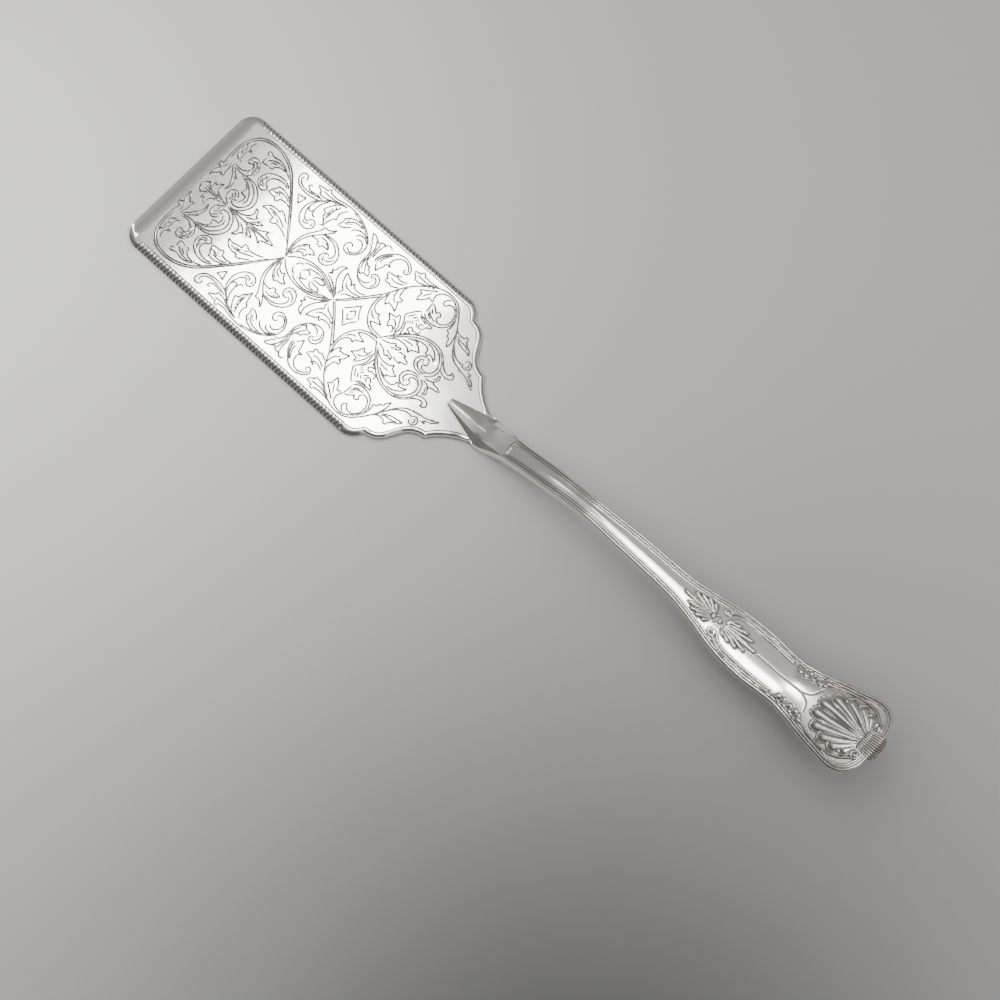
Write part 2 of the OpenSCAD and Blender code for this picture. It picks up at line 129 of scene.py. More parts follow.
# Engraved lines of one half, in millimetres from the front edge and from the middle line; the other half
# mirrors them
engraving = [
    # heart
    [(6.1, 8.3), (5.75, 10.5), (5.65, 13), (5.95, 16), (7.1, 18.4), (9, 20.4), (11.5, 21.3), (14, 21.4),
     (16.5, 21), (19, 20.1), (21.5, 18.6), (24, 16.2), (27, 12.9), (30, 9.4), (33, 5.5), (35.3, 2.5),
     (37.1, 0)],
    [(6.5, 10.6), (6.2, 13.2), (6.5, 15.6), (7.6, 18), (9.6, 20), (12, 20.75), (14.5, 20.8), (17, 20.2),
     (19.5, 19.2), (22, 17.4), (24.5, 14.9), (27, 12.1), (29.4, 9.3), (32, 6.2), (34.4, 3.2)],
    # front leaf
    [(6.1, 9.6), (6.1, 8.4), (5.3, 8.1), (5.1, 7.4), (5.1, 7.4), (5.9, 7), (6.4, 6.8), (6.4, 6.8),
     (5.7, 5.6), (5.45, 4.3), (5.6, 3.4), (5.6, 3.4), (6.2, 4.4), (7.1, 5.3), (7.6, 5.9), (7.6, 5.9),
     (7.9, 5.4), (8.7, 5.7), (8.7, 5.7), (8.35, 6.6), (8.25, 8), (8, 9.2), (7.6, 10)],
    [(7.2, 9.4), (7.1, 8.1), (6.6, 7.1)],
    [(8.8, 18.3), (8.3, 17), (8.6, 16.1), (9.6, 15.3), (9.6, 15.3), (8.6, 15.1), (8.4, 13.7),
     (8.8, 12.2), (9.5, 11.3)],
    [(6.7, 13.4), (7.5, 12.3), (8.6, 11.5)],
    [(7, 15.6), (7.35, 14.4), (7.9, 13.3)],
    [(7.6, 16.4), (7.8, 15.3), (8.2, 14.4)],
    [(6.9, 17.2), (7.1, 16.4), (7.6, 15.8)],
    # front volute
    [(8.4, 10.15), (9, 10), (10.5, 9.95), (12, 10.4), (12.9, 11.3), (13.05, 12.4), (12.5, 13.05),
     (11.9, 13.05), (11.3, 12.7), (10.75, 13.1), (10.65, 13.9), (11.2, 14.8), (12.2, 15.05),
     (13.4, 14.6), (14.3, 13.6), (14.65, 12.4), (14.3, 10.9), (13.4, 9.7), (12.3, 9.2)],
    [(11.5, 14.1), (12.5, 14.2), (13.4, 13.5), (13.75, 12.4), (13.5, 11.2)],
    [(12.2, 14.7), (13.4, 14), (14.1, 12.9), (14.15, 11.8), (13.7, 10.6)],
    [(11.4, 13.6), (12.2, 13.7), (13, 13.2)],
    # front stem
    [(8.1, 9.85), (8.6, 9.6), (10, 9.3), (12, 9.25), (13.8, 9.5), (15.6, 9.55), (17.5, 9.1),
     (19.2, 7.9), (20.3, 6.4), (20.7, 4.9), (20.4, 3.2), (19.4, 1.6), (17.8, 0.55), (15.8, 0.05)],
    [(12.6, 9.25), (14.4, 9.15), (16, 8.85), (17.6, 8), (18.9, 6.6), (19.6, 5), (19.5, 3.6),
     (18.7, 2.2), (17.4, 1.35), (16.1, 1.3), (15.4, 1.9), (15.7, 2.6), (16.6, 2.5)],
    [(12.8, 9.1), (14.8, 8.45), (16.7, 7.2), (17.9, 5.8), (18.4, 4.4), (18, 3)],
    [(12.4, 9), (14, 8.45), (15.3, 7.7), (16, 6.7), (15.6, 5.5), (15.6, 5.5), (16.2, 5.15), (17.3, 5.2),
     (17.3, 5.2), (17.5, 4.1), (17.2, 3.2), (16.6, 2.5)],
    [(15.9, 3.3), (15.85, 4), (15.2, 4.65), (14.2, 4.8), (13.3, 4.1), (13, 3), (13.4, 1.9), (14.3, 1.1),
     (15.5, 0.3)],
    [(13.9, 4.1), (14.7, 4.05), (15.3, 3.4), (15.2, 2.6)],
    [(13.7, 3.2), (14.3, 3.3), (14.8, 2.7), (14.9, 1.9)],
    [(13.9, 2.3), (14.4, 2.1), (14.7, 1.4)],
    [(8.3, 9.5), (9, 8.8), (10.1, 7.6), (11.1, 6.2), (11.7, 4.7), (11.6, 3), (11.6, 3), (12.05, 3.7),
     (12.3, 4.8), (12.05, 6), (11.6, 6.9)],
    [(9.6, 9.2), (10.5, 8.3), (11.3, 7.6), (11.9, 7.2), (11.5, 7), (10.9, 7.2)],
    # front palmette
    [(5.6, 0.05), (6.3, 0.6), (6.7, 1.3), (7.6, 1.9), (7.6, 1.9), (8, 1.3), (9.3, 0.6)],
    [(8.1, 1.3), (8.6, 2), (8.5, 2.8), (8.5, 2.8), (9.3, 2.4), (9.9, 3.2), (10.8, 3.8), (10.8, 3.8),
     (10.35, 2.8), (10.7, 1.7), (11.8, 0.8), (13.4, 0.3)],
    [(7.4, 0.35), (9.4, 0.3), (12, 0.25), (15.5, 0.05)],
    # heart leaf
    [(16, 0.1), (18, 0.35), (20, 0.9), (21.5, 1.7), (22.3, 2.7), (22.35, 3.8), (21.8, 4.75),
     (21.8, 4.75), (22.7, 4.5), (23.2, 3.7), (23.4, 3), (23.4, 3), (24.2, 2.9), (24.2, 2.9),
     (23.5, 2.1), (22.3, 1.4), (21.3, 1)],
    [(24.1, 2.25), (25.2, 2.35), (25.2, 2.35), (24.6, 1.7), (23.4, 1.1)],
    [(25.4, 2.35), (26.6, 2.35), (26.6, 2.35), (25.7, 1.6), (24.4, 0.95), (23, 0.6)],
    [(22.6, 0.4), (24.8, 0.45), (26.6, 0.75), (27.9, 1.4), (29, 2.15), (29, 2.15), (28.85, 1.3),
     (29.6, 0.9), (31, 0.5), (32.7, 0.05)],
    [(16.5, 0), (24, 0.12), (31, 0.1)],
    [(20.3, 18), (18.6, 18.6), (16.6, 18.8), (14.8, 18.55), (13.7, 18.9), (13, 18.9), (12.9, 18.3),
     (13.4, 17.95), (14, 17.9)],
    [(13.6, 17.4), (13.55, 15.4), (13.55, 15.4), (14.6, 15.4), (15.7, 15.7)],
    [(14.2, 16.5), (15, 17.2), (16, 17.8), (17.2, 18.1), (18.8, 18.1), (20.6, 17.85)],
    [(15.2, 16.5), (16.1, 17.1), (17.3, 17.6)],
    [(15.9, 15.9), (16.3, 15.5), (16.9, 15.7), (17, 16.3), (17.7, 17), (18.8, 17.45), (20.2, 17.45),
     (21.6, 17.05), (22.8, 16.5)],
    [(24.4, 14.3), (23.4, 15.1), (21.9, 15.6), (20, 15.55), (18.4, 15), (17.1, 14), (16.4, 12.8),
     (16.25, 11.5), (16.8, 10.4), (17.8, 9.65), (19, 9.5), (19.8, 10), (19.9, 10.8), (19.1, 11.35),
     (18.5, 12.2), (18.6, 13.2), (19.5, 14.2), (20.9, 14.75), (22.6, 14.8), (23.9, 14.2)],
    [(17.6, 13.9), (17.3, 12.7), (17.3, 11.7), (18, 11), (18.9, 10.9)],
    [(16.8, 12), (17.1, 11), (17.9, 10.35), (18.8, 10.3)],
    [(17.9, 14.3), (17.75, 13.2), (17.9, 12.2)],
    [(28.1, 10.7), (26.7, 11.1), (25.3, 11.1), (24.5, 10.7), (24.3, 10), (23.6, 9.75), (23.2, 10.3),
     (23.2, 10.3), (22.2, 10.3), (20.7, 10.5), (20.7, 10.5), (21, 11.6), (21.7, 12.5), (21.7, 12.5),
     (21.9, 13.3), (21.9, 13.3), (23.2, 13.45), (24.7, 13.2), (26.2, 12.6), (27.6, 11.8)],
    [(22.4, 12.3), (23.8, 12.5), (25.4, 12.3), (27, 11.6)],
    [(21.6, 11.1), (22.6, 11.6), (23.2, 11.2)],
    [(22.4, 11.9), (23.2, 12), (23.9, 11.4)],
    [(24, 11.9), (24.5, 11.6), (24.9, 11.2)],
    [(33.2, 3.8), (31.7, 4.5), (30.2, 4.95), (28.6, 5.1), (27.8, 4.6), (27, 4.5), (26.75, 5.2),
     (26.9, 5.9), (26.9, 5.9), (25.4, 6.1), (24, 6.5), (22.5, 6.25), (22.5, 6.25), (23.1, 7.2),
     (24, 7.9), (25.4, 8.25), (27.1, 8.1), (27.1, 8.1), (27.1, 8.85), (27.1, 8.85), (28.4, 8.55),
     (29.6, 7.7), (30.9, 6.8)],
    [(23.8, 7.1), (25.8, 7.35), (28, 6.9), (29.7, 6.2), (31.1, 5.5)],
    [(25.2, 6.6), (26.2, 6.9), (27.4, 6.3)],
    [(27.6, 6.4), (28.3, 5.9), (29.2, 5.6)],
    # side volutes
    [(25.5, 19.2), (25.85, 19.9), (25.6, 20.6), (24.9, 20.95), (24.1, 20.7), (23.65, 20), (23.8, 19),
     (24.4, 18.1), (25.5, 17.3), (27, 16.9), (29, 16.85), (31, 17.2), (32.8, 17.8), (34.1, 18.9)],
    [(25.1, 20.1), (24.6, 19.6), (24.8, 18.8), (25.5, 18.1), (26.8, 17.6), (28.8, 17.6), (31, 18),
     (33, 18.6)],
    [(28.5, 19), (28, 19.5), (27.5, 19.2), (27.6, 18.7), (28.6, 18.2), (30.2, 18.3), (31.8, 18.6)],
    [(26.8, 15.5), (28, 15.4), (29.5, 15.8), (29.5, 15.8), (29.1, 14.6), (28.8, 13.2), (28.8, 13.2),
     (28, 14.1), (26.8, 15.5)],
    [(29.1, 20.9), (30.6, 21.15), (32.2, 21.2), (32.2, 21.2), (32.45, 21.9), (32.9, 22), (33.4, 21.3),
     (33.4, 21.3), (35.4, 21.2), (38, 21.7), (40.5, 21.9), (42.5, 21.75), (44.5, 21.2), (46.6, 20.4),
     (48.6, 19.2), (50.1, 17.8), (50.8, 16.3), (50.9, 14.8), (50.4, 13.3), (49.3, 12.2), (48, 11.75),
     (46.9, 12), (46.2, 12.8), (46.15, 13.8), (46.8, 14.6), (47.6, 14.55), (48.05, 13.8)],
    [(29.1, 20.9), (30.2, 20.3), (31, 19.9), (31, 19.9), (31.1, 19.2), (33, 19.2), (34.8, 19.8),
     (36.6, 20.4), (39.6, 21.2)],
    [(31.2, 20.5), (33.2, 20.4), (35.3, 20.5), (37.3, 20.9), (39.4, 21.3)],
    [(47.05, 13.6), (47.5, 12.8), (48.5, 12.45), (49.5, 13.05), (50.15, 14), (50.1, 15.2), (49.7, 16.1),
     (48.9, 16.7), (48, 16.7), (47.2, 16.2)],
    [(46.7, 16.6), (46.9, 17.5), (48, 18), (49.3, 17.8), (50.3, 17)],
    [(44.6, 16.9), (45, 17.8), (46.2, 18.6), (47.8, 18.75), (49.4, 18.2), (50.2, 17.4)],
    [(45.5, 20.3), (47, 19.9), (48.4, 19), (49.6, 18.2)],
    # side leaves
    [(37.2, 20.3), (36.1, 19), (35.4, 17.7), (35, 16.65), (35, 16.65), (36, 16.3), (36, 16.3),
     (36.3, 15.2), (37.3, 14.1), (38, 13), (38, 13), (38.15, 14.5), (38.75, 16.3), (38.75, 16.3),
     (39.6, 16.85), (39.6, 16.85), (39.15, 17.8), (39.2, 19), (40.4, 20.8)],
    [(37.3, 14.9), (37.25, 17), (37.6, 18.8), (38.4, 20.4)],
    [(36.4, 16.6), (36.8, 16.1), (37.1, 15.3)],
    [(36.2, 17.6), (36.7, 17.2), (37.1, 16.5)],
    [(36.4, 18.6), (36.9, 18.2), (37.2, 17.5)],
    [(36.9, 19.5), (37.3, 19.1), (37.5, 18.4)],
    [(40.6, 16), (42.1, 16.3), (43.3, 17.1), (44.1, 18.1)],
    [(40.6, 16), (41.2, 17.4), (41.1, 18.6), (41.1, 18.6), (42, 19.5), (43.4, 20.2), (45.6, 20.5)],
    [(41.6, 17.2), (42.5, 18.4), (43.6, 19.4), (45.2, 19.7), (47, 19.7)],
    [(42.2, 17.4), (42.9, 18.1)],
    [(41.7, 18.5), (42.5, 19.3)],
    [(42.9, 18), (43.8, 18.8)],
    [(41.5, 21.4), (43, 21.3), (44.8, 20.7), (46.6, 19.9)],
    [(34.3, 19.1), (32.6, 17.8), (31.3, 16.2), (30.75, 14.4), (30.85, 12.6), (31.5, 11.1), (32.6, 9.9),
     (33.9, 9.35), (35.3, 9.5), (36.3, 10.3), (36.5, 11.3), (36.1, 12.2), (35.2, 12.55), (34.4, 12),
     (34, 11.3), (33.2, 11.4), (32.4, 12.3), (31.75, 13.7), (31.65, 15), (32.1, 16.6), (33.1, 18.1),
     (34.6, 19.4), (36.6, 20.4), (39.4, 21.2)],
    [(35.4, 12), (35.8, 11.2), (35.4, 10.4)],
    [(34.9, 11.6), (34.6, 10.8), (33.6, 10.5), (32.6, 11)],
    [(35, 13.8), (34.4, 13.3), (33.8, 13.6), (33.4, 14.6), (33.4, 16.2), (33.8, 17.7), (34.8, 19.2)],
    [(31.9, 14.9), (32.2, 14), (33, 14), (33.1, 14.9)],
    # middle scrolls
    [(37, 0.1), (36.2, 2.2), (35.85, 4.4), (35.95, 6.4), (36.6, 8.4), (37.6, 10.1), (38.6, 11.7),
     (39, 13.2), (39, 13.2), (40.1, 13.2), (40.1, 13.2), (41, 13.6), (41.9, 14.7), (41.9, 14.7),
     (41.7, 13.6), (40.9, 12.5), (39.6, 11)],
    [(37.1, 0.3), (36.6, 2.4), (36.4, 4.6), (36.7, 6.6), (37.5, 8.4), (38.7, 10), (40.2, 11.4),
     (42.1, 12.05), (44, 11.95), (45.5, 11.3), (46.8, 10.2), (47.5, 8.9), (47.65, 7.5), (47.1, 6.2),
     (46.1, 5.3), (45, 5.05), (43.9, 5.5), (43.4, 6.4), (43.5, 7.4), (44.2, 8.1), (45.1, 8.1),
     (45.6, 7.6)],
    [(40.4, 11.3), (42.3, 11.5), (44.2, 11.1), (45.6, 10.1), (46.3, 8.9), (46, 7.8), (45.3, 7.2)],
    [(47.1, 8.3), (46.6, 7.1), (45.6, 6.4), (44.8, 6.6)],
    [(44.3, 7.2), (44.6, 6.3), (45.3, 5.9)],
    [(44.9, 7.4), (45, 6.9)],
    [(37.8, 8.8), (39, 9.2), (40.3, 9.1), (40.9, 8.3), (41.6, 8.2), (41.9, 8.9), (41.9, 8.9), (43.9, 9),
     (43.9, 9), (43.4, 9.8), (42.4, 10.4), (41.2, 10.6), (39.8, 10.4)],
    [(41, 9.9), (41.9, 9.5)],
    [(42, 10), (42.9, 9.5)],
    [(37.15, 1.5), (37.1, 3.4), (37.6, 5), (38.5, 6.2), (39.4, 6.8), (39.4, 6.8), (39.9, 6.3),
     (41.1, 6.2), (42.4, 5.6), (42.4, 5.6), (41.3, 4.9), (40.5, 4.4), (40.5, 4.4), (40.7, 3.8),
     (40.1, 3.4), (40.1, 3.4), (39.8, 3.9), (38.7, 3.6), (37.8, 2.6), (37.4, 1.2)],
    [(37.7, 3.2), (38.6, 4.6), (40.2, 5.25)],
    [(37.5, 4.2), (38.3, 5.5), (39.4, 6.1)],
    # almond
    [(37.2, 0.2), (38.9, 1.8), (40.6, 2.8), (42.6, 3.5), (45, 3.8), (47.5, 3.65), (49.6, 3.1),
     (51.6, 2.2), (53.2, 1.2), (54.7, 0.05)],
    [(41.6, 2.2), (43.3, 2.9), (45.5, 3.25), (47.8, 3.05), (50, 2.3), (52.2, 1.3), (53.6, 0.6)],
    [(43.4, 1.6), (45, 2.2), (47, 2.45), (49, 2.2), (51, 1.5), (52.8, 0.7)],
    [(40.6, 0.1), (40.8, 1.1), (41.5, 1.7), (42.4, 1.75)],
    [(42.8, 0.1), (43.5, 1), (44.2, 1.4), (45.4, 0.9), (45.4, 0.9), (45.1, 0.2)],
    [(46.6, 0.3), (46.9, 1.2), (47.8, 1.75), (49.4, 1.8), (50.2, 1.2), (50.2, 1.2), (49.6, 0.7),
     (48, 0.5), (46.7, 0.3)],
    # crossing
    [(54.7, 0), (57, 2.4), (59, 4.8), (60.8, 7), (62.4, 9), (63.6, 10.6), (64.5, 12.2), (65.2, 13.7),
     (66.3, 15.4), (67.7, 17.1), (69.4, 18.7), (71.4, 20.2), (73.6, 21.3), (76, 21.8), (78, 21.6),
     (79.8, 20.9), (81.3, 19.6), (82.7, 17.9), (84, 16.1), (85.3, 14.1), (86.7, 11.6), (88.3, 9.7),
     (90, 8.6), (92.4, 8), (95, 7.5), (97, 6.7), (98.3, 5.8)],
    [(55.2, 0), (57.4, 2.2), (59.7, 4.8), (61.4, 6.8), (63, 8.8)],
    [(48.6, 4), (48.8, 5), (49.5, 5), (49.5, 5), (48.5, 6.1), (48.5, 6.1), (49.4, 6.3), (49.5, 7.4),
     (50.2, 8.4), (51.4, 8.9), (51.4, 8.9), (50.8, 7.8), (50.8, 6.3), (51.3, 4.8), (52.5, 3.1),
     (54.2, 1.2)],
    [(48.6, 4), (50, 3.8), (51.4, 3.1), (52.8, 2.1), (54.4, 0.7)],
    [(54.6, 1.6), (54.2, 2.4), (54.7, 3.6), (54.7, 3.6), (53.9, 4.2), (53.2, 5.1), (52.6, 6.4),
     (52.2, 7.9), (52.2, 7.9), (53.6, 7.3), (54.8, 6.7), (55.2, 5.8), (55.2, 5.8), (55.8, 6.9),
     (56.3, 6.1), (57.4, 5.8), (58.8, 6), (60, 6.7)],
    [(53.7, 5.9), (54.5, 5), (56, 4.6), (57.8, 4.8), (59.2, 5.4)],
    [(55, 2), (55.6, 3), (57, 3.6), (58.2, 4.3)],
    [(58, 0.1), (59.6, 1.6), (61.3, 3.7), (61.3, 3.7), (62.3, 1.8), (63.7, 0.05)],
    [(59.9, 0.05), (61.1, 1.7), (61.1, 1.7), (62.3, 0.05)],
    # rear s scrolls
    [(49.2, 20.7), (50.4, 20.6), (51.5, 20), (52.4, 19.5), (52.4, 19.5), (53, 20.1), (53.9, 20.4),
     (54.3, 20.1), (54.3, 20.1), (55, 20.9), (56, 20.8), (56.4, 20.2)],
    [(49.2, 20.7), (50.2, 19.6), (50.8, 18.6), (51.8, 18.4)],
    [(50.4, 17.9), (51.5, 17.6), (52.3, 16.5), (52.6, 15), (52.6, 13.4), (52.8, 11.9), (53.4, 10.6),
     (54.4, 9.3), (55.6, 8.4), (57, 7.95), (58.5, 8.05), (59.6, 8.8), (60.25, 9.9), (60.35, 11),
     (59.8, 12.1), (58.8, 12.65), (57.8, 12.5), (57.3, 11.8), (57.6, 11.2), (58.2, 10.9)],
    [(55, 8.9), (56.6, 8.7), (57.8, 9.3), (58.3, 10.3)],
    [(59, 8.8), (59.6, 10), (59.4, 11.1), (58.6, 11.7), (58, 11.5)],
    [(51.4, 19.9), (52.4, 18.6), (52.9, 17), (53.05, 15.2), (53.1, 13.4), (53.4, 12.2), (54, 11.1)],
    [(53, 20), (53.2, 18.2), (53.4, 16.2), (53.5, 14.4), (54, 13), (54.8, 11.8), (55.4, 11)],
    [(54.3, 20.1), (53.9, 18.6), (53.9, 16.8), (54, 15.2)],
    [(53.9, 13.8), (54.7, 13), (55.4, 13.1), (55.4, 13.1), (55.5, 12.3), (56.2, 12), (56.8, 10.8),
     (56.8, 10.8), (55, 10.7), (55, 10.7), (54.7, 9.9), (54.7, 9.9), (54, 10.4), (53.4, 11.2)],
    [(55.6, 15.2), (56.2, 14.4), (57.1, 13.3), (57.1, 13.3), (57.4, 14.4), (57.9, 15.5), (57.9, 15.5),
     (58, 16.5), (59.4, 16.6), (59.4, 16.6), (58.6, 17.2), (58.5, 18.3), (59.1, 19.5), (60.2, 20.35),
     (61.5, 20.5), (62.7, 20), (63.6, 19.1), (63.6, 18.3)],
    [(55.1, 15), (54.9, 16.2), (55.5, 17.8), (56.9, 19.4), (58.4, 20.7), (60.1, 21.25), (61.8, 21.1),
     (63.3, 20.4), (64.2, 19.3), (64.1, 18.3), (63.4, 17.8), (62.7, 18.1), (62.8, 18.8), (63.3, 18.9)],
    [(55.6, 15.2), (55.6, 16.5), (56.2, 17.9), (57.4, 19.4)],
    [(56.4, 15.4), (56.3, 16.8), (57, 18.4), (57.9, 19.7)],
    [(57.3, 15.6), (57, 16.4)],
    [(59.6, 15.4), (61, 15.6), (62.2, 15.8), (62.2, 15.8), (62.5, 16.6), (62.5, 16.6), (62.9, 15.8),
     (64.4, 15.8), (66.1, 16.5)],
    [(59.6, 15.4), (60.4, 14.5), (61.1, 14), (61.1, 14), (60.7, 13.5), (61.1, 13), (62.3, 13.2),
     (62.8, 12.9), (64, 13.3), (65, 14)],
    [(61.3, 14.8), (62.6, 14.45), (64.2, 14.8), (65.8, 15.7)],
    # rear scrolls
    [(70.8, 0.15), (68.2, 0.25), (66.2, 1), (64.7, 2.4), (63.6, 4.3), (63.1, 6.2), (63, 8.1),
     (63.3, 9.8)],
    [(71, 0.9), (69.4, 0.85), (67.6, 1.1), (66.4, 1.7), (65.8, 2.2), (65.8, 2.2), (67, 2.7),
     (68.7, 3.2), (68.7, 3.2), (67.6, 3.8), (66.6, 4.3), (66.6, 4.3), (66.4, 5.2), (66.4, 5.2),
     (65.6, 4.85), (64.6, 5.3), (63.8, 6.4), (63.6, 8.2), (64, 10.2), (64.4, 11.4)],
    [(63.8, 5.2), (64.8, 3.9), (66.4, 3.3)],
    [(64.4, 11.5), (64.4, 10.2), (64.8, 9), (65.5, 8.2), (65.5, 8.2), (65.8, 9.2), (65.8, 9.2),
     (67.3, 8.95), (68.65, 8.4), (68.65, 8.4), (68.2, 9.8), (67.3, 11), (67.3, 11), (68.05, 11.3),
     (68.1, 12.1), (68.1, 12.1), (67, 12.2), (66.5, 13.4), (66.4, 14.8), (67.2, 16.2)],
    [(65.3, 14.2), (65.4, 12.5), (66, 11), (67.2, 10.1)],
    [(69.2, 17.4), (70.4, 17), (70.4, 17), (70.35, 15.8), (70.6, 14.75), (70.6, 14.75), (71.5, 15.5),
     (72.4, 16.7), (72.6, 17.4), (72.6, 17.4), (73.4, 17.15), (74.3, 17.1)],
    [(69.2, 17.4), (70.5, 18.2), (72.2, 19.4), (73.6, 20.4)],
    [(71, 16.3), (71.7, 17.6), (72.6, 18.9)],
    [(64.7, 20.4), (65.6, 20.6), (66.6, 20.8), (66.6, 20.8), (67, 21.55), (67.5, 21.5), (68, 20.9),
     (68, 20.9), (70.2, 20.75), (73, 21.1)],
    [(64.7, 20.4), (65.5, 19.6), (66.2, 19.2), (66.2, 19.2), (66.4, 18.6), (68, 18.6), (69.6, 19.2),
     (71.8, 20.4)],
    [(65.9, 20), (67.7, 19.9), (69.7, 19.9), (71.8, 20.5)],
    [(74.4, 17), (73.7, 18.2), (73.8, 19.5), (74.9, 20.7), (76.5, 21.2), (78.3, 20.95), (79.8, 20.1),
     (81.1, 18.9), (82, 17.5), (82.5, 16), (82.5, 14.8), (82.3, 13.9), (82.3, 13.9), (83.2, 13.6),
     (83.2, 13.6), (83.5, 12.6), (83.5, 12.6), (84.2, 12.5), (84.6, 11.4), (85.4, 10.4), (85.4, 10.4),
     (85.5, 11.8), (85.1, 13.6), (84.5, 15.4)],
    [(77.9, 20.8), (77, 20.3), (76.4, 19.4), (76.8, 18.5), (77.5, 18.6), (78, 19.4), (79.2, 19.65),
     (80.4, 19.1), (81.2, 18), (81.5, 16.6), (81.2, 15.1), (80.4, 14.1), (79.2, 13.65), (78.3, 14.1),
     (78.1, 14.9), (78.5, 15.5), (78.1, 16), (77.3, 16), (77, 15.3), (77, 15.3), (76.3, 16),
     (75.4, 16.6), (74.4, 17)],
    [(82, 17.2), (82.1, 15.9), (81.7, 14.6), (80.8, 13.4), (79.6, 12.7), (78, 12.3), (76.6, 12.4),
     (75.3, 13), (74.6, 13.7)],
    [(74.4, 17), (74.65, 15.4), (74.75, 13.8)],
    [(75, 15.1), (76, 14.2), (77.2, 13.6), (78.5, 13.3)],
    [(75.2, 14.3), (76, 13.6), (77.2, 13.1)],
    [(75.2, 15.9), (76, 15.1), (76.6, 14.5)],
    # strap leaf
    [(74.2, 12.9), (73.7, 13.1), (72.9, 12.3), (72.1, 11.2), (71.3, 10), (71.3, 10), (71.6, 9.2),
     (72.5, 7.9), (73, 6.4), (73.05, 5), (72.7, 3.4)],
    [(70.2, 8.9), (70.2, 7.6), (70.2, 7.6), (69, 7.4), (67.9, 7.2), (67.9, 7.2), (68.6, 6.6),
     (69.3, 5.9), (69.3, 5.9), (69.5, 5), (70, 4.2), (70, 4.2), (70.5, 4.9), (71.2, 5), (71.9, 4.2),
     (72, 3.1)],
    [(70.2, 8.9), (70.9, 8.3), (71.8, 7), (72.4, 5.5), (72.5, 4)],
    [(69.4, 6.8), (70.5, 6.6), (71.4, 5.9), (72.1, 4.6)],
    [(74, 12.8), (75, 12), (76.2, 11.5), (77.3, 11.4)],
    [(74.8, 12.6), (76.4, 11.9), (78, 11.7), (79.1, 11.7), (79.1, 11.7), (78.7, 11), (77.9, 10.8),
     (77.9, 10.8), (77.6, 10), (77, 9.4), (76.3, 9.4), (76.05, 10), (76.5, 10.6), (77.2, 10.5)],
    [(77.3, 9.3), (77.55, 8.6), (77.5, 7.9), (77.5, 7.9), (76.6, 7.8), (75.7, 7.7), (75.7, 7.7),
     (75.3, 8.2), (74.7, 7.9), (74.5, 7.2), (75.2, 6.8), (75.7, 6.7), (75.7, 6.7), (75.4, 6.2),
     (74.7, 6), (74.7, 6), (74.6, 5.3), (74, 4.8), (74, 4.8), (73.7, 6), (73.4, 7.2), (72.6, 8.7)],
    [(73.5, 11.8), (72.6, 10.4), (71.9, 9.6)],
    [(74.4, 11.6), (73.2, 10)],
    [(75.2, 11.3), (74.2, 10.1)],
    [(72.8, 9.2), (73.6, 8.2)],
    [(73.7, 10), (74.7, 8.9)],
    [(74.8, 10.2), (76.1, 8.8)],
    [(73.2, 9.6), (74.1, 8.5)],
    [(75.2, 10.8), (75.9, 10.2)],
    # rear palmette
    [(70.7, 0.3), (72, 2.1), (74, 4.5), (76.4, 6.8), (78.4, 8.1), (80.5, 8.8), (82.6, 9.05),
     (84.6, 8.8), (86.1, 8.2), (87.5, 7), (88.7, 5.8), (90, 5.05), (91, 4.9), (91.6, 5.5), (91.6, 5.5),
     (91.3, 6), (92.2, 5.9), (92.7, 5.1), (92.2, 4.3), (91, 3.9), (89.6, 4.1), (88.6, 4.8)],
    [(72.6, 2.3), (74.8, 4.5), (77, 6.4), (79, 7.6), (81, 8.3), (83, 8.4), (84.8, 7.9), (86.3, 6.8),
     (87.4, 5.3), (87.75, 3.6), (87.2, 2.2), (86.2, 1.55), (85, 1.6), (84.3, 2.1), (84.35, 2.8),
     (85.1, 3), (85, 4.1), (84.4, 4.8), (83.4, 4.85), (82.4, 4.3), (81.8, 3.3), (81.9, 2), (82.6, 1),
     (83.9, 0.4), (86, 0.35)],
    [(81, 7.9), (83, 7.7), (84.5, 6.9), (85.5, 5.8), (85.8, 5), (85.8, 5), (84.9, 5.6), (83.6, 5.95),
     (83.6, 5.95), (83.3, 5.3), (82.5, 5.4), (82.5, 5.4), (82.5, 6.2), (81.8, 6.9), (80.3, 7),
     (78.8, 6.7), (77.4, 6)],
    [(84.4, 8.5), (86.4, 7.6), (87.9, 6), (88.6, 4.1), (88.4, 2.5), (87.6, 1.2), (86.4, 0.5)],
    [(83.9, 4), (83.1, 3.6), (82.8, 2.8), (83.1, 1.9), (83.9, 1.2), (85.2, 0.9), (86.6, 1.1)],
    [(82.4, 3.4), (82.9, 3.3)],
    [(82.4, 2.4), (82.9, 2.5)],
    [(82.8, 1.6), (83.2, 1.9)],
    [(83.6, 3.9), (83.8, 3.3), (83.6, 2.7)],
    [(89, 0.8), (89.8, 1.5), (90.3, 2.4), (90, 3.3), (89.5, 3.2), (89.6, 2.3), (88.9, 1.4)],
    [(72.2, 1.6), (74, 3), (75.4, 3.5), (77, 3.5), (78.4, 3.1), (78.9, 2.4), (78.9, 2.4), (79.2, 3.4),
     (79.2, 3.4), (80.2, 4), (81.3, 4.4), (81.3, 4.4), (80.6, 5), (79.6, 5.7), (79, 5.7), (79, 5.7),
     (79.3, 6.2), (78.7, 6.3), (77.5, 5.9), (76.2, 5.2)],
    [(75.6, 4.3), (77, 4.65), (79, 4.7)],
    [(71.4, 0.5), (73, 0.9), (74.3, 1.5), (74.9, 2.1), (75.5, 2), (75.5, 2), (75.4, 1.6), (77.1, 2.1),
     (77.1, 2.1), (76.8, 1.3), (75.5, 0.9), (74.3, 0.45)],
